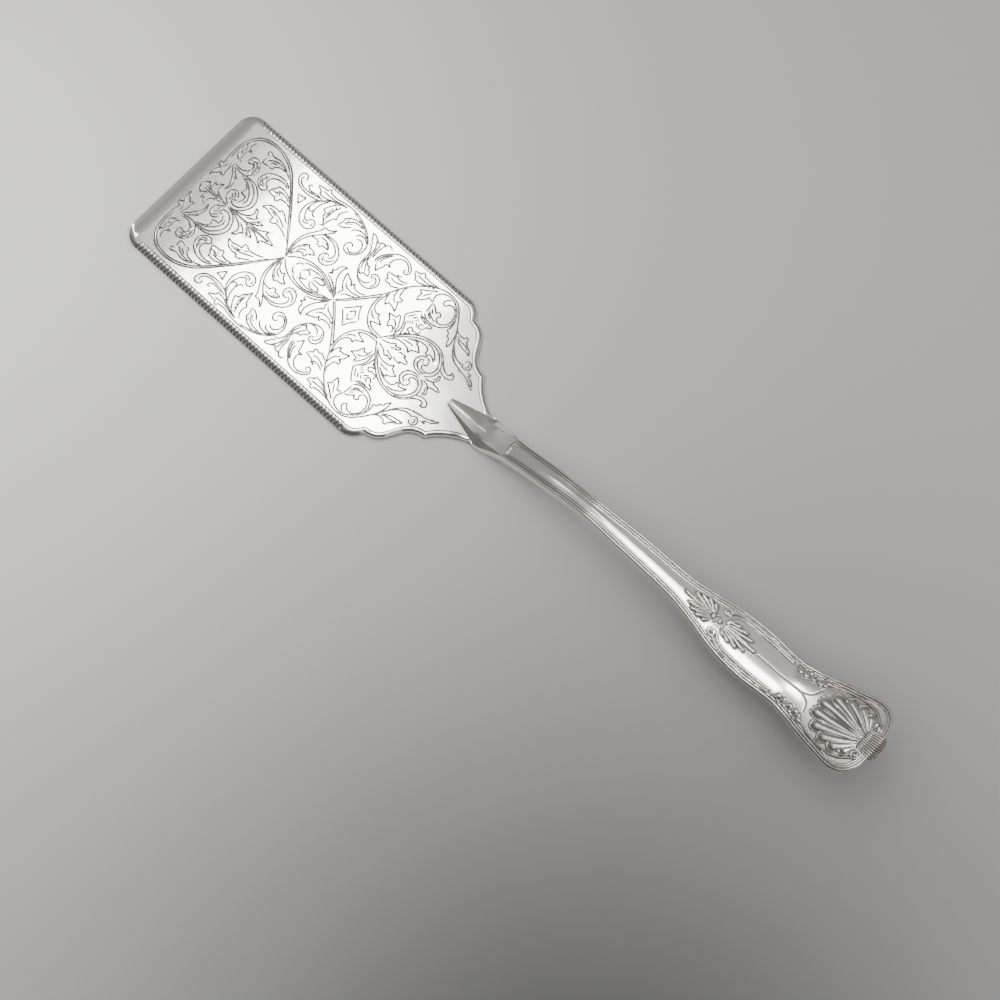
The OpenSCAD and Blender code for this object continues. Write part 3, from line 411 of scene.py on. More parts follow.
    [(76.9, 0.75), (77.8, 1.2), (79.5, 1.3), (79.5, 1.3), (79.2, 0.8), (79.2, 0.8), (80.4, 0.5),
     (81.4, 0.05)],
    [(87, 0.3), (88.4, 0.5), (89.6, 1), (89.6, 1), (90.1, 0.6), (91.4, 0.45), (92.8, 0)],
    # tail sprigs
    [(83.6, 16.4), (85, 15.3), (86.4, 15.1), (87.2, 15.2), (87.2, 15.2), (87.5, 15.85), (88.2, 15.7),
     (88.4, 14.9), (88.4, 14.9), (89.5, 14), (90.6, 13.4), (91.3, 12.5), (91.3, 12.5), (89.8, 12.7),
     (88.3, 12.95), (86.9, 13.5), (85.6, 14.5)],
    [(85.4, 14.8), (87, 14), (88.6, 13.9), (90.2, 13.2)],
    [(85.5, 13.4), (86.7, 11.9), (88.1, 10.6), (89.6, 9.7), (91.2, 9.5), (92.1, 9.9)],
    [(91.9, 10.4), (92.2, 11.2), (93.2, 11.3), (94, 10.6), (94, 9.6), (93.1, 9), (92.1, 9.2),
     (91.9, 9.9)],
    [(92.5, 10.6), (93.1, 10.7), (93.4, 10.1), (93, 9.6), (92.5, 9.9)],
    [(94.1, 9), (95.6, 8.8), (95.6, 8.8), (95, 8.3), (96.3, 7.8), (97.5, 7), (98.3, 5.8)],
]

# Short cross strokes along a band: path of the band's middle, distance between strokes, their length
tickBands = [
    ([(10.8, 13.9), (11.6, 14.3), (12.6, 14.2), (13.5, 13.4), (13.9, 12.3), (13.7, 11.3),
      (13, 10.6)], 0.75, 0.8),
    ([(16.8, 12.9), (17, 11.6), (17.7, 10.8), (18.7, 10.5)], 0.7, 0.9),
    ([(21.2, 11.3), (22.4, 11.4), (23.6, 11.5)], 0.8, 0.8),
    ([(36.8, 18.2), (36.6, 16.5), (36.9, 15), (37.3, 14)], 0.6, 0.7),
    ([(44.2, 7.8), (44, 6.5), (44.6, 5.7), (45.6, 5.6)], 0.7, 0.7),
    ([(42, 10.2), (43, 9.7), (43.8, 9.2)], 0.6, 0.6),
    ([(55.2, 15.4), (55.5, 17), (56.3, 18.6), (57.2, 19.6)], 0.6, 0.7),
    ([(58, 11.8), (58.3, 10.8), (58.9, 9.9)], 0.7, 0.7),
    ([(82.3, 1.5), (81.9, 2.6), (82.2, 3.7), (83, 4.4), (84, 4.3)], 0.7, 0.65),
    ([(91.4, 7.8), (93, 7.4), (95, 6.9), (96.8, 6.4)], 0.6, 0.6),
]


def bladeOutline(b):  # one side, front to tail: place, bevel width, and count of notches so far
    halfW, tailX = b["width"] / 2, b["length"]
    sideEnd = tailX - b["shoulderLength"]
    a = np.linspace(math.pi, math.pi / 2, b["frontSteps"])
    front = np.stack([b["frontRadius"] * (1 + np.cos(a)), halfW - b["frontRadius"] * (1 - np.sin(a))], 1)
    millStart = b["frontRadius"] + b["millMargin"]
    millCount = int((sideEnd - millStart) / b["millPitch"])
    x = millStart + np.arange(millCount * b["millSteps"] + 1) * b["millPitch"] / b["millSteps"]
    side = np.stack([x, np.full(len(x), halfW)], 1)
    a = np.linspace(math.pi / 2, math.pi / 2 - math.radians(b["cornerTurn"]), b["cornerSteps"])
    cornerY = halfW - b["shoulderRadius"] * (1 - np.sin(a))
    corner = np.stack([sideEnd + b["shoulderRadius"] * np.cos(a), cornerY], 1)
    cusp = corner[-1]
    point = np.array([tailX - b["pointLength"], b["pointWidth"] / 2])
    tail = np.array([tailX, b["neckWidth"] / 2])
    pull = np.array([b["ogeePull"][0] * (point[0] - cusp[0]), -b["ogeePull"][1]])
    fall = np.array([b["pointLength"], tail[1] - point[1]])
    t = np.linspace(0, 1, b["curveSteps"] + 1)[1:, None]

    def bezier(p, q, r, s):
        return (1 - t) ** 3 * p + 3 * (1 - t) ** 2 * t * q + 3 * (1 - t) * t * t * r + t ** 3 * s
    ogee = bezier(cusp, cusp + pull, point - pull, point)
    sweep = bezier(point, point + fall * b["sweepStart"], tail - fall * b["sweepEnd"], tail)
    places = np.concatenate([front, side, corner, ogee, sweep])
    sideStop = len(front) + len(side)
    cornerStop = sideStop + len(corner)
    rim = np.full(len(places), b["rim"])
    rim[sideStop:cornerStop] = lerp(b["rim"], b["shoulderRim"], np.linspace(0, 1, len(corner)))
    rim[cornerStop:] = b["shoulderRim"]
    phase = np.full(len(places), np.nan)
    phase[len(front):sideStop] = (x - millStart) / b["millPitch"]
    return places, rim, phase


def bladeEdge(b):  # closed rings of points from the underside up to the flat face, and their tarnish and painted shade
    places, rim, phase = bladeOutline(b)
    places = np.concatenate([places, places[::-1] * [1, -1]])
    rim = np.concatenate([rim, rim[::-1]])
    phase = np.concatenate([phase, phase[::-1]])
    along = np.roll(places, -1, axis=0) - np.roll(places, 1, axis=0)
    along /= np.hypot(along[:, 0], along[:, 1])[:, None]
    inward = np.stack([along[:, 1], -along[:, 0]], 1)
    ridge = np.abs(np.sin(np.pi * np.nan_to_num(phase)))
    notch = np.where(np.isnan(phase), 0, 1 - ridge ** b["millPower"])

    # Profile of the edge, from the underside over the bevel and its lip down to the flat face, which
    # lies lower: inset, share of the bevel, height, share of the side wall's painted shade,
    # and along the front more inset and another height
    top, edge, lip = b["thick"], b["thick"] - b["rimDrop"], b["thick"] + b["lipRise"]
    profile = [
        (0.35, 0, 0, 0, 1, 0, 0),
        (0.1, 0, 0.1, 0, 1, 0, 0.1),
        (0, 0, 0.3, 0.1, 1, 0, 0.3),
        (0, 0, edge - 0.15, 0.7, 1, 0, 0.85),
        (0.1, 0, edge, 1, 0.5, 0, 1.2),
        (0, 0.3, lerp(edge, lip, 0.5), 1, 0, 0.03, 1.243),
        (0, 0.55, lerp(edge, lip, 0.82), 0.8, 0, 0.15, 1.284),
        (0, 0.75, lerp(edge, lip, 0.97), 0.4, 0, 0.38, 1.361),
        (0, 0.9, lip, 0.05, 0, 0.69, 1.461),
        (0.1, 1, lerp(lip, top, 0.3), 0, 0, 1, 1.54),
        (0.25, 1, lerp(lip, top, 0.8), 0, 0, 1.45, 1.582),
        (0.4, 1, top, 0, 0, 1.95, top),
    ]
    x, y = places.T
    frontness = np.clip(inward[:, 0], 0, 1) ** 2 * (x < b["frontZone"])
    lipless = np.maximum(ramp(*(b["length"] - np.array(b["lipEnd"])), x), 1 - ramp(*b["lipStart"], x))
    # tarnish in the milled notches, with painted shade that makes them darker on the far side (positive y)
    notchTarnishAndShade = np.where(y < 0, *b["notchTarnishAndShade"]) * notch ** b["notchTarnishAndShadePower"]
    rings, stainsAndShades = [], []
    for inset, share, sideHeight, cut, wall, more, frontHeight in profile:
        height = lerp(np.minimum(sideHeight, lerp(lip, top, lipless)), frontHeight, frontness)
        sunk = cut * b["millDepth"] * notch
        setIn = inset + share * rim + more * frontness + b["millInset"] * sunk * (share == 0)
        rings.append(np.column_stack([places + inward * setIn[:, None], height - sunk]))
        # the underside and side wall get painted shade, except along the front
        stainsAndShades.append(np.maximum(notchTarnishAndShade * cut, b["wallPaintedShade"] * wall * (1 - frontness)))
    return rings, stainsAndShades


def engravedCuts(b, lines, bands):  # cuts of both halves: middle line, way to a lip, half width
    strokes = list(lines)
    for path, apart, long in bands:
        middle, normal = strokePath(path, apart)
        strokes += np.stack([middle - normal * long / 2, middle + normal * long / 2], 1).tolist()
    cuts = []
    for stroke in strokes:
        middle, normal = strokePath(np.asarray(stroke) + b["lineShift"], b["lineStep"])
        way = wayAlong(middle)
        fromEnd = np.minimum(way, way[-1] - way)
        halfWidth = b["lineWidth"] / 2 * np.sqrt(np.clip(fromEnd / b["taper"], 0, 1))
        for flip in ([1, 1], [1, -1]):
            cuts.append((middle * flip, normal * halfWidth[:, None] * flip, halfWidth))
    return cuts


def cutDepth(b, spots, cuts):  # depth of a V-shaped cut, greatest on its middle line and none at its lips
    middles = np.concatenate([middle for middle, _, _ in cuts])
    halfWidths = np.concatenate([halfWidth for _, _, halfWidth in cuts])
    order = np.argsort(middles[:, 0])
    middles, halfWidths = middles[order], halfWidths[order]
    depth = np.zeros(len(spots))
    for part in np.array_split(np.argsort(spots[:, 0]), b["searchStrips"]):
        first, last = spots[part, 0].min() - b["searchMargin"], spots[part, 0].max() + b["searchMargin"]
        low, high = np.searchsorted(middles[:, 0], [first, last])
        if high > low:
            gap = np.hypot(*(spots[part][:, None] - middles[None, low:high]).transpose(2, 0, 1))
            within = np.maximum((halfWidths[None, low:high] - gap).max(axis=1), 0)
            depth[part] = within / (b["lineWidth"] / 2) * b["lineDepth"]
    return depth


def makeBlade(b, lines, bands):
    rings, stainsAndShades = bladeEdge(b)
    points, tarnishAndShade = np.concatenate(rings), np.concatenate(stainsAndShades)
    count = len(rings[0])
    innerRing = (len(rings) - 1) * count
    i = np.arange(count)
    j = (i + 1) % count
    faces = []
    for lower in range(0, innerRing, count):
        upper = lower + count
        faces += np.stack([lower + i, lower + j, upper + j, upper + i], 1).tolist()
    k = np.arange(count // 2 - 1)  # the underside is strips from one long side to the other
    faces += np.stack([k, count - 1 - k, count - 2 - k, k + 1], 1).tolist()

    # Flat face: a triangulation held to the bevel's inner line and to the middle and both lips of each cut
    cuts = engravedCuts(b, lines, bands)
    plane, links, start = [rings[-1][:, :2]], [np.stack([i, j], 1)], count
    for middle, lip, _ in cuts:
        for line in (middle, middle + lip, middle - lip):
            n = np.arange(start, start + len(line) - 1)
            plane.append(line)
            links.append(np.stack([n, n + 1], 1))
            start += len(line)
    corners = [Vector(p) for p in np.concatenate(plane).tolist()]
    insideOnly = 1
    made = geometry.delaunay_2d_cdt(corners, np.concatenate(links).tolist(), [], insideOnly, b["mergeGap"])
    spots, _, triangles, sources = made[:4]
    spots = np.array([tuple(p) for p in spots])
    depth = cutDepth(b, spots, cuts)
    index = np.full(len(spots), -1)
    for spot, origins in enumerate(sources):
        border = [o for o in origins if o < count]
        if border:
            index[spot] = innerRing + border[0]
    fresh = index < 0
    index[fresh] = len(points) + np.arange(fresh.sum())
    points = np.concatenate([points, np.column_stack([spots, b["thick"] - depth])[fresh]])
    tarnishAndShade = np.concatenate([tarnishAndShade, (depth / b["lineDepth"])[fresh]])
    faces += [index[list(f)].tolist() for f in triangles]
    return meshPiece("bladeEngraved", points, faces, "blade", tarnishAndShade, b["sharpAngle"])


bladePiece = makeBlade(blade, engraving, tickBands)

# Handle: tongue, neck, stem, cartouche, shell and comb as one grid, along its length and round its section
handle = {
    "butt": 108, "heel": 108.15, "stem": 117.15, "cartouche": 174.15, "shell": 209.15, "comb": 234.45,
    "neckWidth": 9.2, "stemWidth": 5.4, "stemEndWidth": 7.5, "cartoucheWidth": 14.2, "waistWidth": 13.3,
    "shellWidth": 20.8, "combWidth": 7.2, "combTaper": 0.75,
    "lapZ": 1.75, "stemStartZ": 8.2, "archZ": 17.9, "cartoucheZ": 15.7, "endZ": 24.2,
    "stemStartThick": 4.9, "stemThick": 3.6, "endThick": 2.4, "heelLength": 2.7,
    "stemCrown": 0.5, "cartoucheCrown": 1, "shellCrown": 0.8,
    # tongue: a roof with a flat land along both edges, which ends between these places from the butt
    "tongueLength": 12.4, "tongueTipWidth": 2.4, "tongueTipHeight": 0.6, "tongueRidge": 2.2,
    "tongueEdge": 0.45, "tongueLand": 0.12, "landEnd": (-0.5, 2.5), "leastFlank": 0.1,
    "roofEdge": 0.5, "roofFade": 5,
    # where across the half width the tongue's top turns into its flank, and the share of the fall before it
    "crease": [(95.6, 0.7), (104, 0.6), (110, 0.64), (116.5, 0.93), (118, 0.97)], "creaseFall": 0.3,
    # rise of the ridge above the edges where the tongue turns into the neck
    "neckCrown": [(106, 1.29), (108, 1.68), (110, 1.66), (112, 1.25), (114, 0.8)],
    # keel along the stem: how sharp it is, and the length over which it fades on the cartouche
    "keel": 0.6, "keelFade": 14,
    # how far the round end of the shell reaches aside, up to the notch beside the comb
    "shellRim": [(231.7, 9.75), (233.2, 8.55), (234.05, 7.25), (234.6, 5.9), (234.9, 4.6)],
    "rimSteps": 9, "rimStrips": 24, "rimReach": 6,
    # side walls: draft, shares of the height below the edge and above the foot, and the foot's round
    "draft": 0.2, "draftStart": 0.6, "wallTop": (0.12, 0.4), "wallFoot": (0.2, 0.06, 0),
    "footRound": (0.12, 0.4), "topColumns": 151, "floorColumns": 7, "paintedShadeRows": 6, "sharpAngle": 40,
}


def handleForm(h, x):  # half width, top, underside and crown at each place along the handle
    tip, end, notch = h["butt"] - h["tongueLength"], overallLength, h["shellRim"][-1][0]
    stem, cart, shell = h["stem"], h["cartouche"], h["shell"]
    stemL, cartL, shellL = cart - stem, shell - cart, h["comb"] - shell
    halfWidths = [
        (h["butt"], h["neckWidth"] / 2),
        (stem, 0.35 * h["neckWidth"]),
        (stem + 0.27 * stemL, 0.55 * h["stemWidth"]),
        (stem + 0.46 * stemL, h["stemWidth"] / 2),
        (stem + 0.7 * stemL, 0.25 * (h["stemWidth"] + h["stemEndWidth"])),
        (cart, h["stemEndWidth"] / 2),
        (cart + 0.22 * cartL, 0.5 * lerp(h["stemEndWidth"], h["cartoucheWidth"], 0.38)),
        (cart + 0.44 * cartL, 0.5 * lerp(h["stemEndWidth"], h["cartoucheWidth"], 0.84)),
        (cart + 0.7 * cartL, h["cartoucheWidth"] / 2),
        (shell, h["waistWidth"] / 2),
        (shell + 0.46 * shellL, 0.5 * lerp(h["waistWidth"], h["shellWidth"], 0.64)),
        (shell + 0.7 * shellL, 0.49 * h["shellWidth"]),
        (shell + 0.8 * shellL, h["shellWidth"] / 2),
    ] + h["shellRim"]
    tongueHalf = lerp(h["tongueTipWidth"], h["neckWidth"], (x - tip) / h["tongueLength"]) / 2
    half = np.where(x <= h["butt"], tongueHalf, smoothCurve(*zip(*halfWidths), x))
    combRound = 1 - h["combTaper"] * ((x - notch) / (end - notch)) ** 2
    combHalf = h["combWidth"] / 2 * np.sqrt(np.maximum(1 - h["combTaper"], combRound))
    half = np.where(x >= notch, combHalf, half)
    tops = [
        (tip, h["lapZ"] + h["tongueTipHeight"]),
        (h["butt"], h["lapZ"] + h["tongueRidge"]),
        (stem, h["stemStartZ"]),
        (stem + 0.29 * stemL, lerp(h["stemStartZ"], h["archZ"], 0.655)),
        (stem + 0.47 * stemL, lerp(h["stemStartZ"], h["archZ"], 0.895)),
        (stem + 0.6 * stemL, lerp(h["stemStartZ"], h["archZ"], 0.965)),
        (stem + 0.78 * stemL, h["archZ"]),
        (cart + 0.22 * cartL, lerp(h["archZ"], h["cartoucheZ"], 0.62)),
        (cart + 0.68 * cartL, h["cartoucheZ"]),
        (shell, lerp(h["cartoucheZ"], h["endZ"], 0.08)),
        (shell + 0.4 * shellL, lerp(h["cartoucheZ"], h["endZ"], 0.36)),
        (shell + 0.8 * shellL, lerp(h["cartoucheZ"], h["endZ"], 0.72)),
        (end, h["endZ"]),
    ]
    top = smoothCurve(*zip(*tops), x)
    thicks = [
        (stem, h["stemStartThick"]),
        (stem + 0.29 * stemL, lerp(h["stemStartThick"], h["stemThick"], 0.85)),
        (stem + 0.5 * stemL, h["stemThick"]),
        (cart, lerp(h["stemThick"], h["endThick"], 0.4)),
        (cart + 0.4 * cartL, h["endThick"]),
        (end, h["endThick"]),
    ]
    heelEnd = h["heel"] + h["heelLength"]
    unders = [(heelEnd - (stem - h["heel"]), 0), (heelEnd, 0)]
    unders += [(place, height - smoothCurve(*zip(*thicks), place)) for place, height in tops[2:]]
    under = np.where(x <= heelEnd, 0, smoothCurve(*zip(*unders), x))
    under = np.where(x <= h["heel"], h["lapZ"], under)
    crowns = h["neckCrown"] + [
        (stem, h["stemCrown"]),
        (cart, h["stemCrown"]),
        (cart + 0.6 * cartL, h["cartoucheCrown"]),
        (shell + 0.5 * shellL, h["shellCrown"]),
        (end, h["shellCrown"] / 2),
    ]
    crown = np.where(x <= crowns[0][0], top - h["lapZ"] - h["tongueEdge"], smoothCurve(*zip(*crowns), x))
    return half, top, under, crown


def sectionPiece(name, x, loopY, loopZ, tarnishAndShade, paintedShadeRows, sharpAngle):  # closed sections with end caps
    endPaintedShade = (0.2, 1)
    rows, cols = loopY.shape
    points = np.stack([np.repeat(x[:, None], cols, 1), loopY, loopZ], -1).reshape(-1, 3)
    stainAndShade = np.zeros((rows, cols))
    stainAndShade[:, :tarnishAndShade.shape[-1]] = tarnishAndShade
    # the last rows, at the end wall, get painted shade that deepens towards the end
    stainAndShade[-paintedShadeRows:] = np.maximum(stainAndShade[-paintedShadeRows:], np.linspace(*endPaintedShade, paintedShadeRows)[:, None])
    i, j = np.meshgrid(np.arange(rows - 1), np.arange(cols), indexing="ij")
    k = (j + 1) % cols
    walls = np.stack([i * cols + j, (i + 1) * cols + j, (i + 1) * cols + k, i * cols + k], -1)
    ring = np.arange(cols)
    faces = walls.reshape(-1, 4).tolist() + [ring.tolist(), ((rows - 1) * cols + ring[::-1]).tolist()]
    return meshPiece(name, points, faces, "handle", stainAndShade.ravel(), sharpAngle)


ornament = {
    # inset from the edge, half width and height of each raised thread that follows the outline
    "threads": [(0.32, 0.32, 0.3), (0.98, 0.28, 0.2), (1.55, 0.25, 0.1)], "threadStart": (-0.6, 0.4),
    # inset of the grooves between the threads, darkened with tarnish and painted shade
    "grooves": [0.66, 1.27], "grooveWidth": 0.12,
    # how dark hollows, cuts, grooves and the shell are, with tarnish and painted shade in the hollows, the
    # grooves and over the shell and painted shade along the cut, and where hollows and the shell turn dark
    "hollowTarnishAndShade": 6, "cutPaintedShade": 12, "grooveTarnishAndShade": 0.85, "shellTarnishAndShade": 0.5,
    "hollowFade": 2, "shellFade": (2, 11), "blurReach": 4,
    # teardrops of the shell from the round head to the root, and their half widths
    "lobes": [
        ([(218.7, 1.5), (222.5, 1.3), (226.8, 0.8), (230.8, 0.35)], [1.3, 1.05, 0.62, 0.25]),
        ([(220.7, 4.2), (223.9, 3.3), (227.6, 2), (230.9, 0.85)], [1.3, 1.05, 0.62, 0.25]),
        ([(223.8, 5.4), (226, 4.4), (228.6, 2.9), (231, 1.35)], [1.3, 1.05, 0.62, 0.25]),
        ([(226.9, 5.7), (228.2, 4.7), (229.7, 3.3), (231.1, 1.85)], [1.25, 0.95, 0.55, 0.22]),
        ([(229.6, 5), (230.1, 4.2), (230.7, 3.2), (231.3, 2.3)], [1.05, 0.8, 0.45, 0.22]),
    ],
    "lobeHeight": [0.55, 0.46, 0.32, 0.2], "lobePower": 0.8,
    "rimGap": 0.22, "rimWidth": 0.2, "rimHeight": 0.24,
    # leaves of the two palmettes, from root to tip
    "leaves": [
        [(183.6, 0), (179.5, 0.05), (175.8, 0.05)], [(183.6, 0.3), (180.5, 0.9), (178, 1.5)],
        [(183.8, 0.6), (181.4, 1.6), (179.4, 2.25)], [(184, 0.8), (182.6, 1.9), (181.2, 2.7)],
        [(184.3, 1), (183.9, 1.8), (183.2, 2.5)],
        [(188.2, 0.1), (193, 0.2), (197.6, 0.05)], [(188.4, 0.4), (192.5, 1), (195.6, 1.6)],
        [(188.3, 0.7), (191, 1.5), (193.4, 2.3)], [(188.2, 1), (189.6, 1.8), (191.2, 2.4)],
        [(188, 1.2), (188.6, 1.7), (189.4, 2)],
    ],
    "leafWidth": [0.2, 0.42, 0.52], "leafHeight": [0.25, 0.5, 0.6],
    # round beads and leaf knobs: place, half width, height
    "knobs": [
        (184.5, 0.25, 0.55, 0.5), (185.4, 0.9, 0.4, 0.35), (186.6, 0.25, 0.5, 0.45), (186.7, 3.1, 0.4, 0.4),
        (207.3, 5, 0.45, 0.4), (208.1, 5.7, 0.45, 0.4), (209.9, 5.5, 0.5, 0.4), (211.6, 5.4, 0.5, 0.4),
        (213.5, 5.6, 0.5, 0.4), (216.4, 6, 0.75, 0.6), (215.3, 6.3, 0.4, 0.4), (232.1, 4.5, 0.6, 0.5),
    ],
    "knobLength": 0.1,
    # petals of the two side sprays, from the outer end to the round inner end
    "petals": [
        [(208.5, 5.1), (209.3, 4.1)], [(210.2, 5), (210.9, 4.05)], [(212.2, 5), (212.9, 4.35)],
        [(214.1, 5.2), (214.8, 4.6)], [(215.2, 5.6), (216, 5)],
    ],
    "petalWidth": [0.4, 0.72], "petalHeight": [0.35, 0.5],
    # cut lines: path, half width, depth; the dark in the cut is painted shade of the keel's crease
    "cuts": [
        ([(199, 0.05), (206, 0.05), (212.5, 0.1), (214, 0.5), (215.2, 1.3), (215.8, 2.4), (216.2, 3.6)],
         0.22, 0.07),
    ],
    # raised lines: path, half width, height
    "lines": [
        ([(219.6, 0), (225, 0), (230.5, 0)], 0.32, 0.2),
        ([(117, 0), (117, 1.2), (117.2, 1.9), (117.9, 2.3)], 0.5, 0.15),
        ([(187.6, 4), (189, 4.8), (191, 5.35), (193.5, 5.55), (197, 5.6), (201, 5.5), (206.4, 5.3)],
         0.33, 0.34),
        ([(187.3, 3.2), (187, 2.6), (186.3, 2.6), (185.9, 3.2), (186.2, 3.9), (187, 4.1), (187.6, 3.6),
          (187.4, 2.7), (188.3, 3.1), (189.3, 3.9), (191, 4.5), (193.5, 4.75), (197, 4.85), (201, 4.8),
          (206.6, 4.55)], 0.33, 0.34),
        ([(217.2, 5.9), (220, 6.9), (223, 7.65), (226, 7.95), (228.5, 7.65), (230.4, 6.7), (231.8, 5.6),
          (232.8, 5.1), (233, 4.4), (232.4, 3.7), (231.5, 3.8), (231.2, 4.5), (231.6, 5.1)], 0.32, 0.4),
    ],
}


def bead(relief, s, v, path, width, height, power=0.5):  # raised line, rounder the lower the power
    step, batch = 0.12, 12
    middle, _ = strokePath(path, step)
    wide, tall = spread(width, len(middle)), spread(height, len(middle))
    reach = wide.max()
    rows = (s[:, 0] > middle[:, 0].min() - reach) & (s[:, 0] < middle[:, 0].max() + reach)
    ss, vv = s[rows], np.abs(v[rows])
    best = np.zeros(ss.shape)
    for part in np.array_split(np.arange(len(middle)), max(1, len(middle) // batch)):
        gap = np.hypot(ss[..., None] - middle[part, 0], vv[..., None] - middle[part, 1]) / wide[part]
        best = np.maximum(best, (tall[part] * np.maximum(0, 1 - gap ** 2) ** power).max(axis=-1))
    relief[rows] = np.maximum(relief[rows], best)


def lobeRim(path, width, gap):  # line up one side of a lobe, round its head and down the other side
    step, headSteps = 0.4, 12
    middle, normal = strokePath(path, step)
    wide = spread(width, len(middle))[:, None] + gap
    a = math.atan2(normal[0, 1], normal[0, 0]) + np.linspace(0, math.pi, headSteps)[1:-1]
    head = middle[0] + wide[0] * np.stack([np.cos(a), np.sin(a)], 1)
    return np.concatenate([(middle + normal * wide)[::-1], head, middle - normal * wide])


def outlineGap(h, x, half, s, v):  # distance to the edge: straight across, on the shell the nearest
    notch, notchAside = h["shellRim"][-1]
    gap = half[:, None] - np.abs(v)
    rimS = np.concatenate([x[x < notch], np.full(h["rimSteps"], notch)])
    rimV = np.concatenate([half[x < notch], np.linspace(notchAside, h["combWidth"] / 2, h["rimSteps"])])
    for part in np.array_split(np.flatnonzero((x > h["shell"]) & (x < notch)), h["rimStrips"]):
        near = np.abs(rimS - x[part].mean()) < h["rimReach"]
        gaps = np.hypot(s[part][..., None] - rimS[near], np.abs(v[part])[..., None] - rimV[near])
        gap[part] = gaps.min(axis=-1)
    return gap


def struckOrnament(o, s, v, edge, framed):  # height of what is raised and depth of what is cut
    raised, carved = np.zeros(s.shape), np.zeros(s.shape)
    for inset, wide, tall in o["threads"]:
        thread = framed * tall * np.sqrt(np.maximum(0, 1 - ((edge - inset) / wide) ** 2))
        raised = np.maximum(raised, thread)
    for path, width in o["lobes"]:
        bead(raised, s, v, path, width, o["lobeHeight"], o["lobePower"])
        bead(raised, s, v, lobeRim(path, width, o["rimGap"]), [o["rimWidth"]] * 2, [o["rimHeight"]] * 2)
    for path in o["leaves"]:
        bead(raised, s, v, path, o["leafWidth"], o["leafHeight"])
    for path in o["petals"]:
        bead(raised, s, v, path, o["petalWidth"], o["petalHeight"])
    for along, aside, wide, tall in o["knobs"]:
        bead(raised, s, v, [(along, aside), (along + o["knobLength"], aside)], [wide] * 2, [tall] * 2)
    for path, wide, tall in o["lines"]:
        bead(raised, s, v, path, [wide] * 2, [tall] * 2)
    for path, wide, deep in o["cuts"]:
        bead(carved, s, v, path, [wide] * 2, [deep] * 2)
    return raised, carved


def makeHandle(h, o):
    tip, notch = h["butt"] - h["tongueLength"], h["shellRim"][-1][0]
    # first place, last place and rows of each stretch; a row that two stretches share is kept once
    stretches = [
        (tip, h["heel"], 46),
        (h["heel"] + 0.02, h["stem"] + 4, 60),
        (h["stem"] + 4, h["cartouche"], 60),
        (h["cartouche"], h["shell"], 200),
        (h["shell"], notch - 2, 150),
        (notch - 2, notch, 32),
        (notch + 0.01, overallLength, 18),
    ]
    x = np.concatenate([np.linspace(*stretch) for stretch in stretches])
    x = x[np.append(True, np.diff(x) > 0)]
    half, top, under, crown = handleForm(h, x)
    u = np.linspace(-1, 1, h["topColumns"])
    s = np.repeat(x[:, None], len(u), 1)
    v = half[:, None] * u
    edge = outlineGap(h, x, half, s, v)
    frameStart, frameFull = h["stem"] + np.array(o["threadStart"])
    framed = ramp(frameStart, frameFull, s) * (s < notch)
    raised, carved = struckOrnament(o, s, v, edge, framed)
    relief = raised - carved

    # A roof with a flat land along both edges on the tongue, a keel along the stem, and a crown on the rest
    across = np.abs(u)[None, :]
    landStop, landGone = h["butt"] + np.array(h["landEnd"])
    land = h["tongueLand"] * (1 - ramp(landStop, landGone, s))
    flank = np.minimum(np.abs(v) / np.maximum(half[:, None] - land, h["leastFlank"]), 1)
    keel = h["keel"] * (1 - ramp(h["cartouche"], h["cartouche"] + h["keelFade"], s))
    crease = smoothCurve(*zip(*h["crease"]), x)[:, None]
    inner = np.minimum(flank / crease, 1)
    outer = np.maximum(flank - crease, 0) / (1 - crease)
    roof = h["creaseFall"] * lerp(inner ** 2, inner, h["roofEdge"]) + (1 - h["creaseFall"]) * outer
    roofShare = 1 - ramp(h["stem"] - h["roofFade"], h["stem"], s)
    drop = lerp(lerp(across ** 2, across, keel), roof, roofShare)
    z = top[:, None] - crown[:, None] * drop + relief

    # Tarnish and painted shade where the relief lies below its surroundings, in the grooves and over the
    # shell, and painted shade in the cuts
    blurred = relief
    for axis in (0, 1):
        shifts = range(-o["blurReach"], o["blurReach"] + 1)
        blurred = sum(np.roll(blurred, k, axis) for k in shifts) / len(shifts)
    tarnishAndShade = np.clip((blurred - relief) * o["hollowTarnishAndShade"] + carved * o["cutPaintedShade"], 0, 1)
    tarnishAndShade = tarnishAndShade * ramp(h["stem"], h["stem"] + o["hollowFade"], s)
    for groove in o["grooves"]:
        line = np.exp(-((edge - groove) / o["grooveWidth"]) ** 2)
        tarnishAndShade = np.maximum(tarnishAndShade, o["grooveTarnishAndShade"] * framed * line)
    shellStart, shellFull = h["shell"] + np.array(o["shellFade"])
    tarnishAndShade = np.maximum(tarnishAndShade, o["shellTarnishAndShade"] * ramp(shellStart, shellFull, s))

    # Closed section: over the top, down one wall, under and up the other wall
    low, wall = under[:, None], half[:, None] + h["draft"] * (x > h["heel"])[:, None]
    edgeZ = z[:, -1:]
    tall = edgeZ - low
    sideY = [lerp(half[:, None], wall, h["draftStart"]), wall, wall]
    sideY += [wall - inset for inset in h["footRound"]]
    sideZ = [edgeZ - share * tall for share in h["wallTop"]]
    sideZ += [low + share * tall for share in h["wallFoot"]]
    sideY, sideZ = np.concatenate(sideY, 1), np.concatenate(sideZ, 1)
    floorY = sideY[:, -1:] * np.linspace(1, -1, h["floorColumns"] + 2)[None, 1:-1]
    loopY = np.concatenate([v, sideY, floorY, -sideY[:, ::-1]], 1)
    loopZ = np.concatenate([z, sideZ, np.repeat(low, h["floorColumns"], 1), sideZ[:, ::-1]], 1)
    return sectionPiece("handleStruck", x, loopY, loopZ, tarnishAndShade, h["paintedShadeRows"], h["sharpAngle"])


